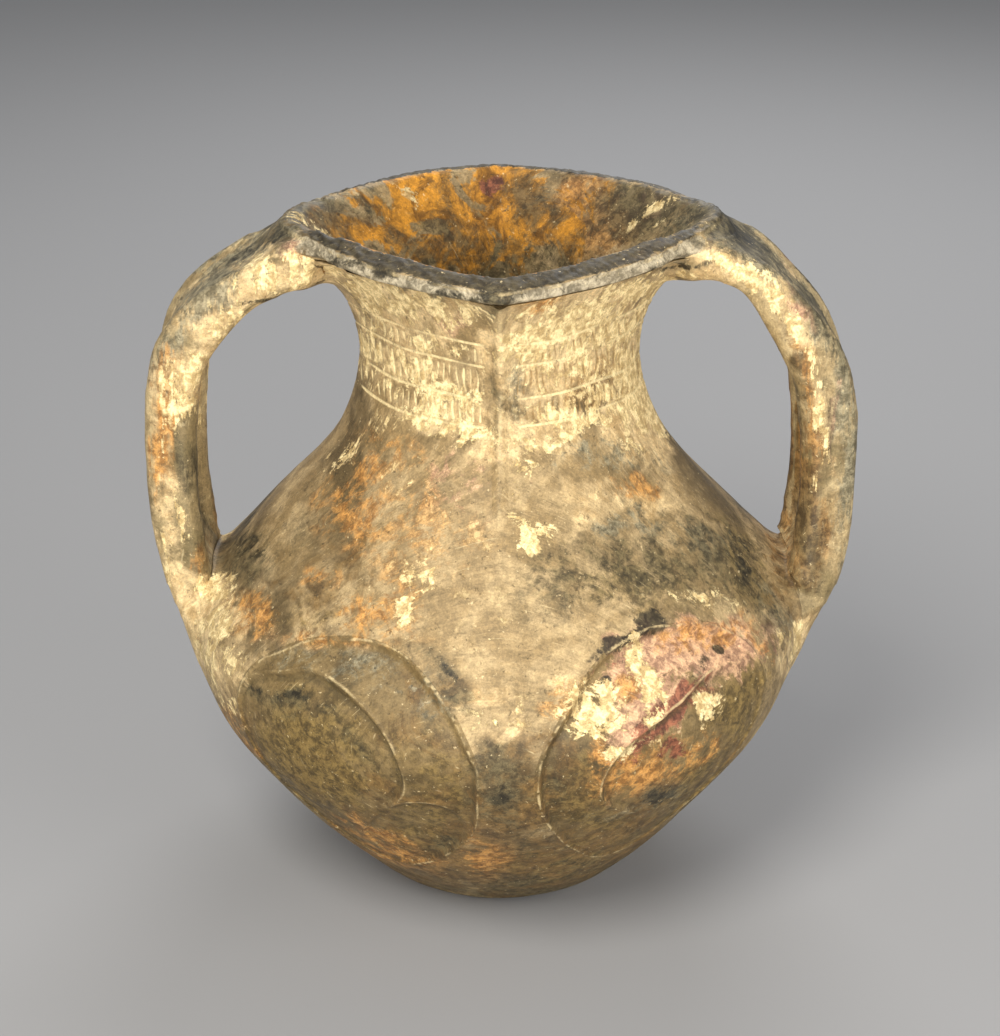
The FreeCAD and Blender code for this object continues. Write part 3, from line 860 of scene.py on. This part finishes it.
stains["chalk"] = [
    (430, 345, 76, 46, 0.5, 12), (400, 308, 60, 24, 1.1, 10), (575, 345, 84, 52, 1.1, -10),
    (634, 365, 38, 70, 1.4, -8), (640, 420, 30, 24, 1), (470, 420, 60, 16, 0.8, 12), (560, 430, 70, 20, 0.8, -12),
    (300, 264, 60, 20, 1.1, -6), (250, 286, 36, 24, 1.1, -35), (215, 325, 40, 26, 1.1, -52),
    (184, 370, 46, 24, 1.05, -66), (172, 430, 12, 50, 0.2, 2), (166, 530, 18, 50, 0.8, 5),
    (186, 590, 22, 40, 0.9, -20), (215, 610, 34, 30, 1), (225, 665, 30, 30, 0.6, 20), (502, 712, 46, 24, 0.55, -6),
    (560, 690, 30, 16, 0.4, -20), (620, 500, 44, 12, 0.6, 4), (585, 520, 12, 24, 0.4, 20), (748, 274, 46, 14, 1, 24),
    (795, 328, 30, 11, 0.8, 60), (822, 425, 66, 9, 0.7, 82), (798, 640, 12, 30, 0.7, 25), (690, 290, 60, 14, 0.6),
]
stains["cream"] = [
    (305, 266, 42, 14, 0.8, -4), (262, 276, 26, 16, 0.8, -35), (232, 322, 34, 18, 0.75, -50),
    (200, 356, 36, 14, 0.75, -62), (178, 385, 20, 18, 0.6, -70), (194, 412, 10, 26, 0.8), (168, 428, 5, 40, 0.6, 3),
    (180, 470, 5, 28, 0.5), (168, 535, 14, 46, 0.55, 8), (212, 588, 22, 15, 0.95, 5), (216, 625, 18, 16, 0.7),
    (180, 585, 12, 40, 0.5, -20), (212, 658, 26, 22, 0.6, 30), (228, 700, 10, 40, 0.35, -30),
    (410, 306, 56, 14, 0.9, 8), (372, 290, 30, 16, 0.85, 10), (470, 318, 30, 12, 0.6, 12), (372, 345, 18, 34, 0.6),
    (430, 352, 60, 22, 0.5, 14), (430, 392, 60, 20, 0.55, 16), (462, 430, 26, 13, 1, 14), (425, 415, 30, 10, 0.7, 20),
    (392, 420, 20, 14, 0.35), (532, 338, 34, 34, 1, -10), (585, 330, 60, 28, 0.95, -8), (640, 330, 20, 46, 0.9, 10),
    (634, 385, 26, 50, 1.15, -8), (590, 375, 36, 34, 0.6), (540, 395, 26, 28, 0.5), (655, 420, 18, 14, 0.8, 20),
    (600, 418, 50, 10, 0.75, -6), (555, 440, 40, 12, 0.8, -22), (525, 455, 22, 16, 0.6, -10),
    (640, 292, 60, 12, 0.9, -6), (560, 316, 46, 10, 0.7, -8), (524, 540, 10, 20, 0.85), (546, 532, 10, 10, 0.6),
    (512, 500, 10, 50, 0.4), (500, 620, 6, 6, 0.2), (402, 610, 9, 14, 1), (420, 575, 26, 22, 0.45),
    (345, 458, 14, 24, 0.5, 30), (404, 482, 20, 14, 0.4), (732, 268, 34, 9, 0.85, 12), (760, 290, 26, 13, 0.85, 42),
    (790, 325, 22, 12, 0.95, 62), (808, 372, 24, 9, 0.85, 75), (818, 425, 50, 8, 0.8, 80), (822, 470, 26, 7, 0.6, 85),
    (797, 640, 10, 24, 0.8, 25), (496, 715, 30, 25, 0.35), (594, 712, 31, 24, 1.15, 10), (634, 658, 9, 20, 1.2, 4),
    (650, 693, 11, 26, 1.2, -4), (622, 752, 18, 9, 0.9, -20), (706, 716, 13, 20, 0.6, 20), (655, 748, 10, 8, 0.6),
    (575, 700, 18, 14, 0.4), (460, 560, 80, 80, 0.14), (700, 600, 60, 8, 0.3, 4),
]
stains["orange"] = [
    (378, 470, 40, 36, 0.42, 20), (355, 510, 38, 34, 0.5, 30), (410, 500, 26, 30, 0.35), (322, 580, 18, 9, 0.8, -10),
    (365, 613, 24, 16, 0.7), (400, 600, 18, 34, 0.7), (252, 614, 20, 22, 0.8, 40), (546, 300, 26, 11, 1, -14),
    (588, 375, 30, 34, 0.6), (600, 320, 24, 12, 0.4), (166, 430, 15, 60, 1, 3), (796, 352, 20, 12, 0.8, 62),
    (812, 440, 50, 12, 0.8, 84), (200, 552, 12, 20, 0.6), (786, 336, 26, 6, 1, 62), (797, 378, 20, 6, 0.6, 75),
    (810, 500, 60, 16, 0.7, 88), (790, 560, 40, 20, 0.6, 80), (573, 702, 26, 18, 0.8, -10),
    (640, 770, 40, 24, 1, -20), (700, 634, 36, 14, 0.9, -6), (626, 686, 10, 12, 0.9), (690, 755, 30, 16, 0.6, -40),
    (600, 760, 10, 26, 0.7), (490, 858, 24, 22, 0.7), (395, 850, 60, 14, 0.5, 25), (232, 730, 14, 50, 0.4, -30),
    (756, 636, 6, 26, 0.7, -25), (640, 486, 22, 10, 0.5), (425, 545, 60, 40, 0.3), (340, 640, 80, 10, 0.3),
    (350, 230, 30, 18, 0.9), (300, 255, 20, 6, 0.7, -10),
]
# soot, and painted shadow: the rows along the top edge of the right whorl and just under the lip paint the shadow
# there
stains["soot"] = [
    (420, 272, 96, 9, 1, 9), (560, 268, 90, 8, 1, -14), (495, 284, 20, 18, 1.2), (630, 640, 40, 6, 1, -26),
    (652, 622, 11, 8, 1), (605, 684, 7, 6, 1.2), (717, 651, 5, 5, 1.2), (697, 664, 12, 10, 0.6, 30),
    (784, 330, 28, 4, 1, 60), (255, 297, 26, 4, 0.8, -10), (184, 425, 4, 40, 0.9, 4), (686, 269, 32, 5, 0.9),
    (470, 298, 60, 5, 0.6, 14), (205, 500, 8, 40, 0.4, -4), (300, 698, 44, 6, 0.5, 12), (445, 668, 22, 4, 0.5, 44),
    (250, 545, 22, 14, 0.5, 40), (500, 800, 20, 20, 0.4), (650, 798, 26, 8, 0.6, -10), (745, 560, 14, 34, 0.5, -28),
    (742, 226, 56, 14, 0.75, 28), (258, 246, 44, 8, 0.5, -30),
]
# dark stains; the rows just under the lip on the neck are painted shadow, and the last rows darken the bottom of the
# jar
stains["dark"] = [
    (200, 490, 14, 60, 0.65, -4), (240, 540, 34, 20, 0.7, 20), (246, 560, 26, 26, 0.8, 40),
    (300, 530, 30, 12, 0.5, -40), (365, 306, 10, 16, 0.6), (470, 300, 60, 8, 0.5, 14), (560, 580, 44, 36, 0.6, -20),
    (640, 570, 80, 30, 0.7, 10), (715, 560, 50, 34, 0.8, 30), (700, 530, 50, 16, 0.6, 16),
    (756, 590, 20, 60, 0.5, -25), (500, 780, 26, 44, 0.9), (520, 840, 40, 20, 0.5), (290, 700, 50, 12, 0.7, 12),
    (360, 745, 34, 10, 0.5, 50), (425, 655, 34, 8, 0.6, 30), (460, 700, 26, 8, 0.6, 55), (445, 845, 30, 10, 0.5, -20),
    (610, 680, 60, 10, 0.15, -30), (650, 796, 32, 12, 0.7, -10), (560, 770, 16, 40, 0.5, 10),
    (808, 520, 16, 70, 0.9, 4), (795, 575, 20, 34, 0.7, -20), (790, 400, 8, 60, 0.5, -6), (492, 385, 5, 80, 0.5),
    (498, 304, 10, 10, 0.9), (225, 260, 26, 12, 0.7, -35), (270, 240, 30, 12, 0.7, -20), (740, 226, 70, 26, 1.35, 28),
    (815, 300, 60, 14, 0.8, 62), (828, 420, 40, 6, 0.7, 84), (640, 860, 80, 30, 0.4, -30), (600, 880, 60, 20, 0.6),
    (430, 885, 80, 16, 0.6, 10), (500, 890, 120, 20, 0.7),
]
stains["pink"] = [
    (690, 650, 72, 30, 1.1, -8), (640, 660, 44, 22, 1, -30), (650, 700, 34, 36, 1), (630, 730, 24, 26, 1),
    (735, 648, 30, 24, 0.9, 10), (660, 250, 70, 14, 0.4, -8), (650, 205, 60, 26, 0.6, -10),
    (800, 310, 22, 10, 0.8, 50), (290, 248, 20, 8, 0.6, -8), (440, 318, 50, 12, 0.6, 14), (830, 430, 8, 46, 0.5, 4),
    (470, 480, 60, 50, 0.35),
]
stains["ruby"] = [
    (660, 720, 52, 11, 1.1, -44), (640, 742, 24, 14, 1, -30), (672, 752, 12, 14, 0.8), (690, 700, 22, 12, 0.8, -40),
    (615, 660, 24, 5, 0.6, -28),
]
stains["slate"] = [
    (205, 300, 50, 18, 1, -48), (168, 350, 40, 12, 0.8, -65), (240, 258, 40, 16, 0.9, -25),
    (290, 235, 40, 14, 0.8, -15), (152, 420, 8, 60, 0.5), (628, 520, 34, 20, 0.55, 10), (700, 540, 50, 18, 0.5, 12),
    (520, 385, 14, 34, 0.7), (600, 450, 60, 24, 0.6, 6), (560, 278, 60, 8, 0.9, -14), (640, 262, 60, 8, 0.7, -6),
    (420, 288, 60, 7, 0.8, 10), (756, 246, 56, 26, 1.2, 32), (812, 308, 60, 16, 0.9, 62), (845, 420, 12, 110, 0.9),
    (330, 660, 100, 22, 0.4, 8), (420, 690, 40, 24, 0.35, 45), (780, 610, 20, 40, 0.5, -20), (650, 530, 30, 14, 0.4),
    (640, 800, 40, 14, 0.5, -8), (697, 669, 15, 14, 1, 30), (675, 660, 20, 20, 0.5),
]
stains["moss"] = [
    (310, 760, 70, 60, 1, 30), (740, 700, 24, 50, 1, 25), (700, 780, 60, 26, 0.8, -45), (590, 800, 50, 50, 0.6),
    (440, 780, 30, 60, 0.5), (640, 580, 90, 30, 0.6, 8), (745, 565, 22, 50, 0.9, -28), (560, 870, 90, 20, 0.6),
    (410, 830, 50, 26, 0.6, 20), (330, 620, 80, 26, 0.3),
]
# stains inside the mouth
mouthStains = {}
mouthStains["gold"] = [
    (420, 200, 60, 34, 1.2, -10), (380, 232, 40, 22, 0.8), (480, 205, 60, 40, 0.9), (480, 245, 80, 22, 0.9),
    (545, 240, 50, 24, 1, -30), (580, 205, 34, 26, 0.8, -40), (350, 235, 26, 18, 0.6), (440, 190, 26, 14, 1.2),
    (320, 215, 16, 12, 0.4),
]
mouthStains["orange"] = [
    (350, 226, 26, 14, 0.8, 20), (494, 190, 18, 16, 1.2), (575, 200, 20, 40, 1, 40), (600, 230, 34, 26, 0.9),
    (470, 225, 30, 14, 0.4), (540, 215, 20, 20, 0.5),
]
mouthStains["dark"] = [
    (655, 208, 64, 34, 1.1, -10), (500, 300, 260, 50, 0.9), (325, 220, 46, 26, 1, -10), (450, 196, 22, 26, 0.6),
    (532, 200, 26, 30, 0.9), (455, 240, 30, 20, 0.7), (400, 245, 24, 16, 0.6, 20), (300, 215, 40, 24, 0.5),
    (340, 200, 40, 12, 0.6, -20), (640, 225, 40, 20, 0.6), (690, 205, 30, 26, 0.5), (560, 176, 40, 8, 0.6),
]
mouthStains["pink"] = [
    (650, 205, 50, 26, 0.45, -14),
]
mouthStains["slate"] = [
    (300, 222, 44, 26, 0.9, -10), (330, 200, 40, 18, 0.7, -14), (690, 215, 40, 30, 0.7), (630, 190, 40, 18, 0.4),
]
mouthStains["cream"] = [
    (310, 225, 40, 5, 0.5, 30), (650, 210, 30, 4, 0.6, -35), (665, 222, 30, 3, 0.6, -35), (420, 195, 30, 14, 0.3),
    (285, 232, 20, 5, 0.4),
]
mouthStains["ruby"] = [
    (494, 186, 14, 10, 0.8),
]
mouthStains["moss"] = [
    (480, 230, 120, 50, 0.75), (400, 220, 60, 40, 0.6), (620, 215, 50, 40, 0.6),
]
# bands round the outside of the lip as (lowest, highest, strength), in millimetres below its top edge
lipBands = {
    "soot": (-2.9, 3.0, 0.95),
    "ash": (-8.8, -2.9, 1.0),
    # the dark band at the foot of the lip is painted shadow in its undercut
    "dark": (-11.5, -8.6, 0.8),
    "slate": (-3.2, 3.0, 0.0),
    "cream": (-8.6, 3.0, 0.07),
    "chalk": (-8.6, 3.0, 0.0),
    "orange": (-8.6, 3.0, 0.0),
    "pink": (-8.6, -3.4, 0.0),
}
stainNames = sorted({*stains, *mouthStains, *lipBands})


def stainShare(x, y, rows):
    share = np.zeros(len(x))
    for middleX, middleY, halfX, halfY, strength, *turned in rows:
        turn = math.radians(turned[0]) if turned else 0.0
        cosine, sine = math.cos(turn), math.sin(turn)
        offX, offY = x - middleX, y - middleY
        apart = np.hypot((offX * cosine + offY * sine) / halfX, (offY * cosine - offX * sine) / halfY)
        share = np.maximum(share, strength * np.clip(1.22 - 0.72 * apart, 0.0, 1.0))
    return share


def stained(name, mesh):
    points = placesOf(mesh)
    normals = keptNormals(mesh)
    isHandle = name.startswith("handle")
    x, y, facing, outward = inPhoto(points, normals, isHandle)
    x = x + 5 * waves(points, 14.0, 31)
    y = y + 5 * waves(points, 14.0, 32)
    turnedIn = ~outward & (points[:, 2] > 120) & (not isHandle)
    for stain in stainNames:
        outerShare = stainShare(x, y, stains.get(stain, [])) * ramp(-0.35, 0.1, facing)
        innerShare = stainShare(x, y, mouthStains.get(stain, []))
        shares = np.where(turnedIn, innerShare, outerShare)
        if name == "rim_lip" and stain in lipBands:
            low, high, strength = lipBands[stain]
            drop = points[:, 2] - saddle(points[:, 0])
            inBand = ramp(low - 0.7, low + 0.7, drop) * ramp(high + 0.7, high - 0.7, drop)
            inBand = inBand * ramp(76, 56, np.abs(points[:, 0]))
            shares = np.where(outward, np.maximum(shares * (1 - inBand), strength * inBand), shares)
        setValues(mesh, stain, shares)
    for extra in ("combed", "edges"):
        if extra not in mesh.attributes:
            setValues(mesh, extra, np.zeros(len(points)))


for name, mesh in pieces.items():
    stained(name, mesh)
print("stains laid out")


def setInputs(node, values):
    for socket, value in values.items():
        node.inputs[socket].default_value = value


class Paint:
    # short ways to add the nodes of one material
    def __init__(self, name):
        self.material = bpy.data.materials.new(name)
        self.material.use_nodes = True
        self.tree = self.material.node_tree
        self.shader = self.tree.nodes["Principled BSDF"]
        self.place = self.tree.nodes.new("ShaderNodeTexCoord").outputs["Object"]

    def put(self, socket, value):
        if isinstance(value, bpy.types.NodeSocket):
            self.tree.links.new(value, socket)
        else:
            socket.default_value = value

    def noise(self, scale, detail=4.0, rough=0.55, warp=0.0, stretch=None):
        node = self.tree.nodes.new("ShaderNodeTexNoise")
        setInputs(node, {"Scale": scale, "Detail": detail, "Roughness": rough, "Distortion": warp})
        self.put(node.inputs["Vector"], self.stretched(stretch) if stretch else self.place)
        return node.outputs["Fac"]

    def stretched(self, stretch):
        node = self.tree.nodes.new("ShaderNodeMapping")
        setInputs(node, {"Rotation": [math.radians(angle) for angle in stretch[0]], "Scale": stretch[1]})
        self.put(node.inputs["Vector"], self.place)
        return node.outputs["Vector"]

    def share(self, name):
        node = self.tree.nodes.new("ShaderNodeAttribute")
        node.attribute_name = name
        return node.outputs["Fac"]

    def maths(self, kind, first, second, third=None):
        node = self.tree.nodes.new("ShaderNodeMath")
        node.operation = kind
        for socket, value in zip(node.inputs, (first, second, third)):
            if value is not None:
                self.put(socket, value)
        return node.outputs[0]

    def times(self, first, second):
        return self.maths("MULTIPLY", first, second)

    def step(self, value, low, high, bottom=0.0, top=1.0):
        node = self.tree.nodes.new("ShaderNodeMapRange")
        node.interpolation_type = "SMOOTHSTEP"
        self.put(node.inputs["Value"], value)
        for socket, number in zip(("From Min", "From Max", "To Min", "To Max"), (low, high, bottom, top)):
            node.inputs[socket].default_value = number
        return node.outputs["Result"]

    def mix(self, share, first, second, kind="MIX"):
        node = self.tree.nodes.new("ShaderNodeMix")
        node.data_type = "RGBA"
        node.blend_type = kind
        self.put(node.inputs["Factor"], share)
        self.put(node.inputs[6], first)
        self.put(node.inputs[7], second)
        return node.outputs[2]

    def laid(self, tone, share, strength, over):
        # another colour laid over a tone
        return self.mix(self.times(share, strength), tone, over)


def colour(red, green, blue):
    # a colour as seen on a screen, turned into the amounts of light that the shader works with
    parts = [part / 255 for part in (red, green, blue)]
    light = [part / 12.92 if part <= 10 / 255 else ((part + 0.055) / 1.055) ** 2.4 for part in parts]
    return (*light, 1.0)


clayTones = {
    "burnished_clay": {
        "olive": colour(146, 123, 84), "pale": colour(182, 158, 116), "deep": colour(98, 82, 54),
        "rough": 0.56, "strokes": ((20, 35, 28), (1.0, 7.0, 2.2)), "streaky": 0.3,
    },
    "handle_clay": {
        "olive": colour(160, 138, 98), "pale": colour(196, 174, 130), "deep": colour(112, 98, 66),
        "rough": 0.58, "strokes": ((0, 0, 10), (3.4, 2.6, 0.5)), "streaky": 0.6,
    },
    "whorl_clay": {
        "olive": colour(118, 98, 62), "pale": colour(136, 115, 77), "deep": colour(82, 68, 42),
        "rough": 0.54, "strokes": ((30, 50, 20), (1.4, 5.0, 2.0)), "streaky": 0.3,
    },
}
# how each stain looks, in the order in which they are laid: its light and its deep colour, the width of its edge,
# how far the mottling breaks it up and how much it hides
stainTones = {
    "brown": (colour(126, 98, 56), colour(78, 60, 36), 0.8, 0.6, 0.88),
    "moss": (colour(128, 106, 60), colour(84, 69, 38), 0.8, 0.5, 0.85),
    "chalk": (colour(228, 200, 150), colour(184, 154, 106), 0.9, 0.6, 0.88),
    "slate": (colour(144, 136, 110), colour(94, 89, 70), 0.6, 0.6, 0.85),
    "ash": (colour(182, 170, 144), colour(130, 120, 98), 0.5, 0.4, 0.9),
    "pink": (colour(214, 172, 134), colour(168, 128, 102), 0.4, 0.4, 0.92),
    "orange": (colour(206, 150, 80), colour(152, 104, 52), 0.9, 0.75, 0.85),
    "gold": (colour(214, 148, 44), colour(120, 80, 24), 0.4, 0.75, 0.97),
    "dark": (colour(98, 88, 62), colour(64, 57, 40), 0.9, 0.5, 0.85),
    "ruby": (colour(146, 88, 64), colour(96, 56, 44), 0.3, 0.6, 0.92),
    "soot": (colour(62, 56, 40), colour(36, 32, 23), 0.4, 0.45, 0.93),
    "cream": (colour(240, 218, 164), colour(204, 174, 118), 0.16, 0.8, 0.95),
}
broadStains = ("brown", "chalk", "gold")
# colours laid over the clay: comb marks, worn edges that are also painted highlight, painted shadow, specks, pits and
# scratches
wearAndLightTones = {
    "combed": colour(150, 118, 70),
    "edges": colour(200, 178, 132),
    "paintedShadow": colour(78, 66, 40),
    "specks": colour(226, 204, 156),
    "pits": colour(66, 56, 38),
    "scratches": colour(220, 200, 154),
}


def agedClay(name):
    tones = clayTones[name]
    paint = Paint(name)
    broad = paint.noise(18, 4, 0.55, 0.6)
    cloudy = paint.noise(60, 6, 0.65, 0.8)
    fine = paint.noise(300, 8, 0.72, 0.4)
    grain = paint.noise(1400, 5, 0.75)
    strokes = paint.noise(70, 6, 0.72, 0.2, tones["strokes"])
    hairs = paint.noise(150, 3, 0.5, 0.1, ((10, 30, 42), (0.4, 16.0, 1.0)))
    tone = paint.mix(paint.step(cloudy, 0.4, 0.64), tones["olive"], tones["pale"])
    tone = paint.mix(paint.step(broad, 0.48, 0.66), tone, tones["deep"])
    tone = paint.laid(tone, paint.step(strokes, 0.52, 0.7), 0.35, tones["pale"])
    tone = paint.laid(tone, paint.step(strokes, 0.46, 0.32), 0.45, tones["deep"])
    mottle = paint.step(paint.noise(110, 12, 0.78, 0.5), 0.34, 0.66, -1.0, 1.0)
    patches = paint.step(paint.noise(38, 10, 0.66, 1.2), 0.36, 0.64, -1.0, 1.0)
    dabs = paint.step(strokes, 0.36, 0.66, -1.0, 1.0)
    streaky = tones["streaky"]
    ragged = paint.maths("ADD", paint.times(mottle, 1.05 - streaky), paint.times(dabs, streaky))
    blotch = paint.step(fine, 0.4, 0.6)
    clouds = paint.step(paint.noise(80, 8, 0.7, 1.5), 0.38, 0.6)
    for stain, (light, dark, edge, mottling, hides) in stainTones.items():
        isBroad = stain in broadStains
        share = paint.share(stain)
        level = paint.maths("MULTIPLY_ADD", patches if isBroad else ragged, mottling, share)
        cover = paint.step(level, 0.5 - edge / 2, 0.5 + edge / 2)
        cover = paint.times(cover, paint.step(share, 0.02, 0.3, 0.0, hides))
        tone = paint.mix(cover, tone, paint.mix(clouds if isBroad else blotch, dark, light))
    # the cream crust, laid last, stands up
    raised = cover
    combed = paint.times(paint.share("combed"), paint.maths("ADD", 0.3, cloudy))
    tone = paint.laid(tone, paint.step(combed, 0.2, 0.6), 0.8, stainTones["cream"][0])
    tone = paint.laid(tone, paint.step(combed, -0.2, -0.6), 0.6, wearAndLightTones["combed"])
    # worn edges with a painted highlight, then painted shadow where the edges value falls below zero
    paleBreakup = paint.times(paint.share("edges"), paint.maths("MULTIPLY_ADD", ragged, 0.5, 0.7))
    tone = paint.laid(tone, paint.step(paleBreakup, 0.2, 0.8), 0.75, wearAndLightTones["edges"])
    tone = paint.laid(tone, paint.step(paint.share("edges"), -0.05, -0.8), 0.6, wearAndLightTones["paintedShadow"])
    tone = paint.laid(tone, paint.step(paint.noise(640, 3, 0.6), 0.66, 0.72), 0.6, wearAndLightTones["specks"])
    pits = paint.step(paint.noise(500, 3, 0.6, 0.4), 0.36, 0.30)
    tone = paint.laid(tone, pits, 0.55, wearAndLightTones["pits"])
    scratches = paint.step(hairs, 0.68, 0.74)
    tone = paint.laid(tone, scratches, 0.35, wearAndLightTones["scratches"])
    tone = paint.mix(1.0, tone, paint.step(fine, 0.34, 0.66, 0.74, 1.14), "MULTIPLY")
    tone = paint.mix(1.0, tone, paint.step(grain, 0.34, 0.66, 0.78, 1.12), "MULTIPLY")
    tone = paint.mix(1.0, tone, paint.step(hairs, 0.34, 0.62, 0.9, 1.04), "MULTIPLY")
    paint.put(paint.shader.inputs["Base Color"], tone)
    rough = paint.step(cloudy, 0.3, 0.7, tones["rough"] - 0.08, tones["rough"] + 0.12)
    paint.put(paint.shader.inputs["Roughness"], paint.maths("ADD", rough, paint.times(raised, 0.25)))
    paint.shader.inputs["Specular IOR Level"].default_value = 0.3
    height = paint.maths("ADD", paint.times(raised, 0.4), paint.times(fine, 0.5))
    height = paint.maths("ADD", height, paint.times(grain, 0.15))
    height = paint.maths("SUBTRACT", height, paint.times(paint.maths("ADD", pits, scratches), 0.25))
    height = paint.maths("ADD", height, paint.times(strokes, 0.4))
    bump = paint.tree.nodes.new("ShaderNodeBump")
    setInputs(bump, {"Strength": 0.6, "Distance": 0.0007})
    paint.put(bump.inputs["Height"], height)
    paint.put(paint.shader.inputs["Normal"], bump.outputs["Normal"])
    return paint.material


materials = {name: agedClay(name) for name in clayTones}
print("clay mixed")


def slotOf(name):
    for start in ("handle", "whorl"):
        if name.startswith(start):
            return start + "_clay"
    return "burnished_clay"


def dressed(name, mesh):
    mesh.materials.clear()
    mesh.materials.append(materials[slotOf(name)])
    mesh.shade_smooth()
    piece = placed(name + "_clay", mesh)
    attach(piece, "root")
    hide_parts(name)


for name, mesh in pieces.items():
    dressed(name, mesh)


def lamp(name, place, target, size, power, colour=(1.0, 1.0, 1.0)):
    light = bpy.data.lights.new(name, "AREA")
    light.shape = "DISK"
    light.size = size
    light.energy = power
    light.color = colour
    holder = placed(name, light)
    holder.location = place
    holder.rotation_euler = (Vector(target) - Vector(place)).to_track_quat("-Z", "Y").to_euler()
    return holder


def studio():
    lamp("key_light", (-0.35, -0.75, 1.1), (0, 0, 0.12), 0.6, 14.5, (1.0, 0.965, 0.9))
    lamp("front_light", (0.08, -1.2, 0.22), (0, 0, 0.17), 0.4, 12.6, (1.0, 0.965, 0.91))
    lamp("fill_light", (0.9, -0.7, 0.7), (0, 0, 0.14), 0.9, 5.5, (1.0, 0.97, 0.93))
    lamp("back_light", (0.2, 0.9, 0.9), (0, 0, 0.15), 0.7, 8.0)
    world = bpy.data.worlds.new("studio")
    world.use_nodes = True
    setInputs(world.node_tree.nodes["Background"], {"Color": (0.75, 0.77, 0.8, 1), "Strength": 0.42})
    bpy.context.scene.world = world
    bm = bmesh.new()
    bmesh.ops.create_grid(bm, x_segments=1, y_segments=1, size=2.5)
    floorMesh = meshOf(bm, "floor")
    floor = placed("floor", floorMesh)
    pale = bpy.data.materials.new("pale_floor")
    pale.use_nodes = True
    shade = {"Base Color": (0.3, 0.3, 0.305, 1), "Roughness": 0.9, "Specular IOR Level": 0.05}
    setInputs(pale.node_tree.nodes["Principled BSDF"], shade)
    floorMesh.materials.append(pale)


def photoCamera():
    lens = bpy.data.cameras.new("photo_camera")
    lens.lens = photoView["lens"]
    lens.sensor_width = photoView["sensor"]
    camera = placed("photo_camera", lens)
    camera.location = photoView["place"]
    camera.rotation_euler = (math.radians(photoView["tilt"]), 0, 0)
    bpy.context.scene.camera = camera


studio()
photoCamera()
bpy.context.scene.view_settings.view_transform = "Standard"
low = [min(point[axis] for mesh in pieces.values() for point in (placesOf(mesh).min(0) * millimetre,)) for axis in range(3)]
high = [max(point[axis] for mesh in pieces.values() for point in (placesOf(mesh).max(0) * millimetre,)) for axis in range(3)]
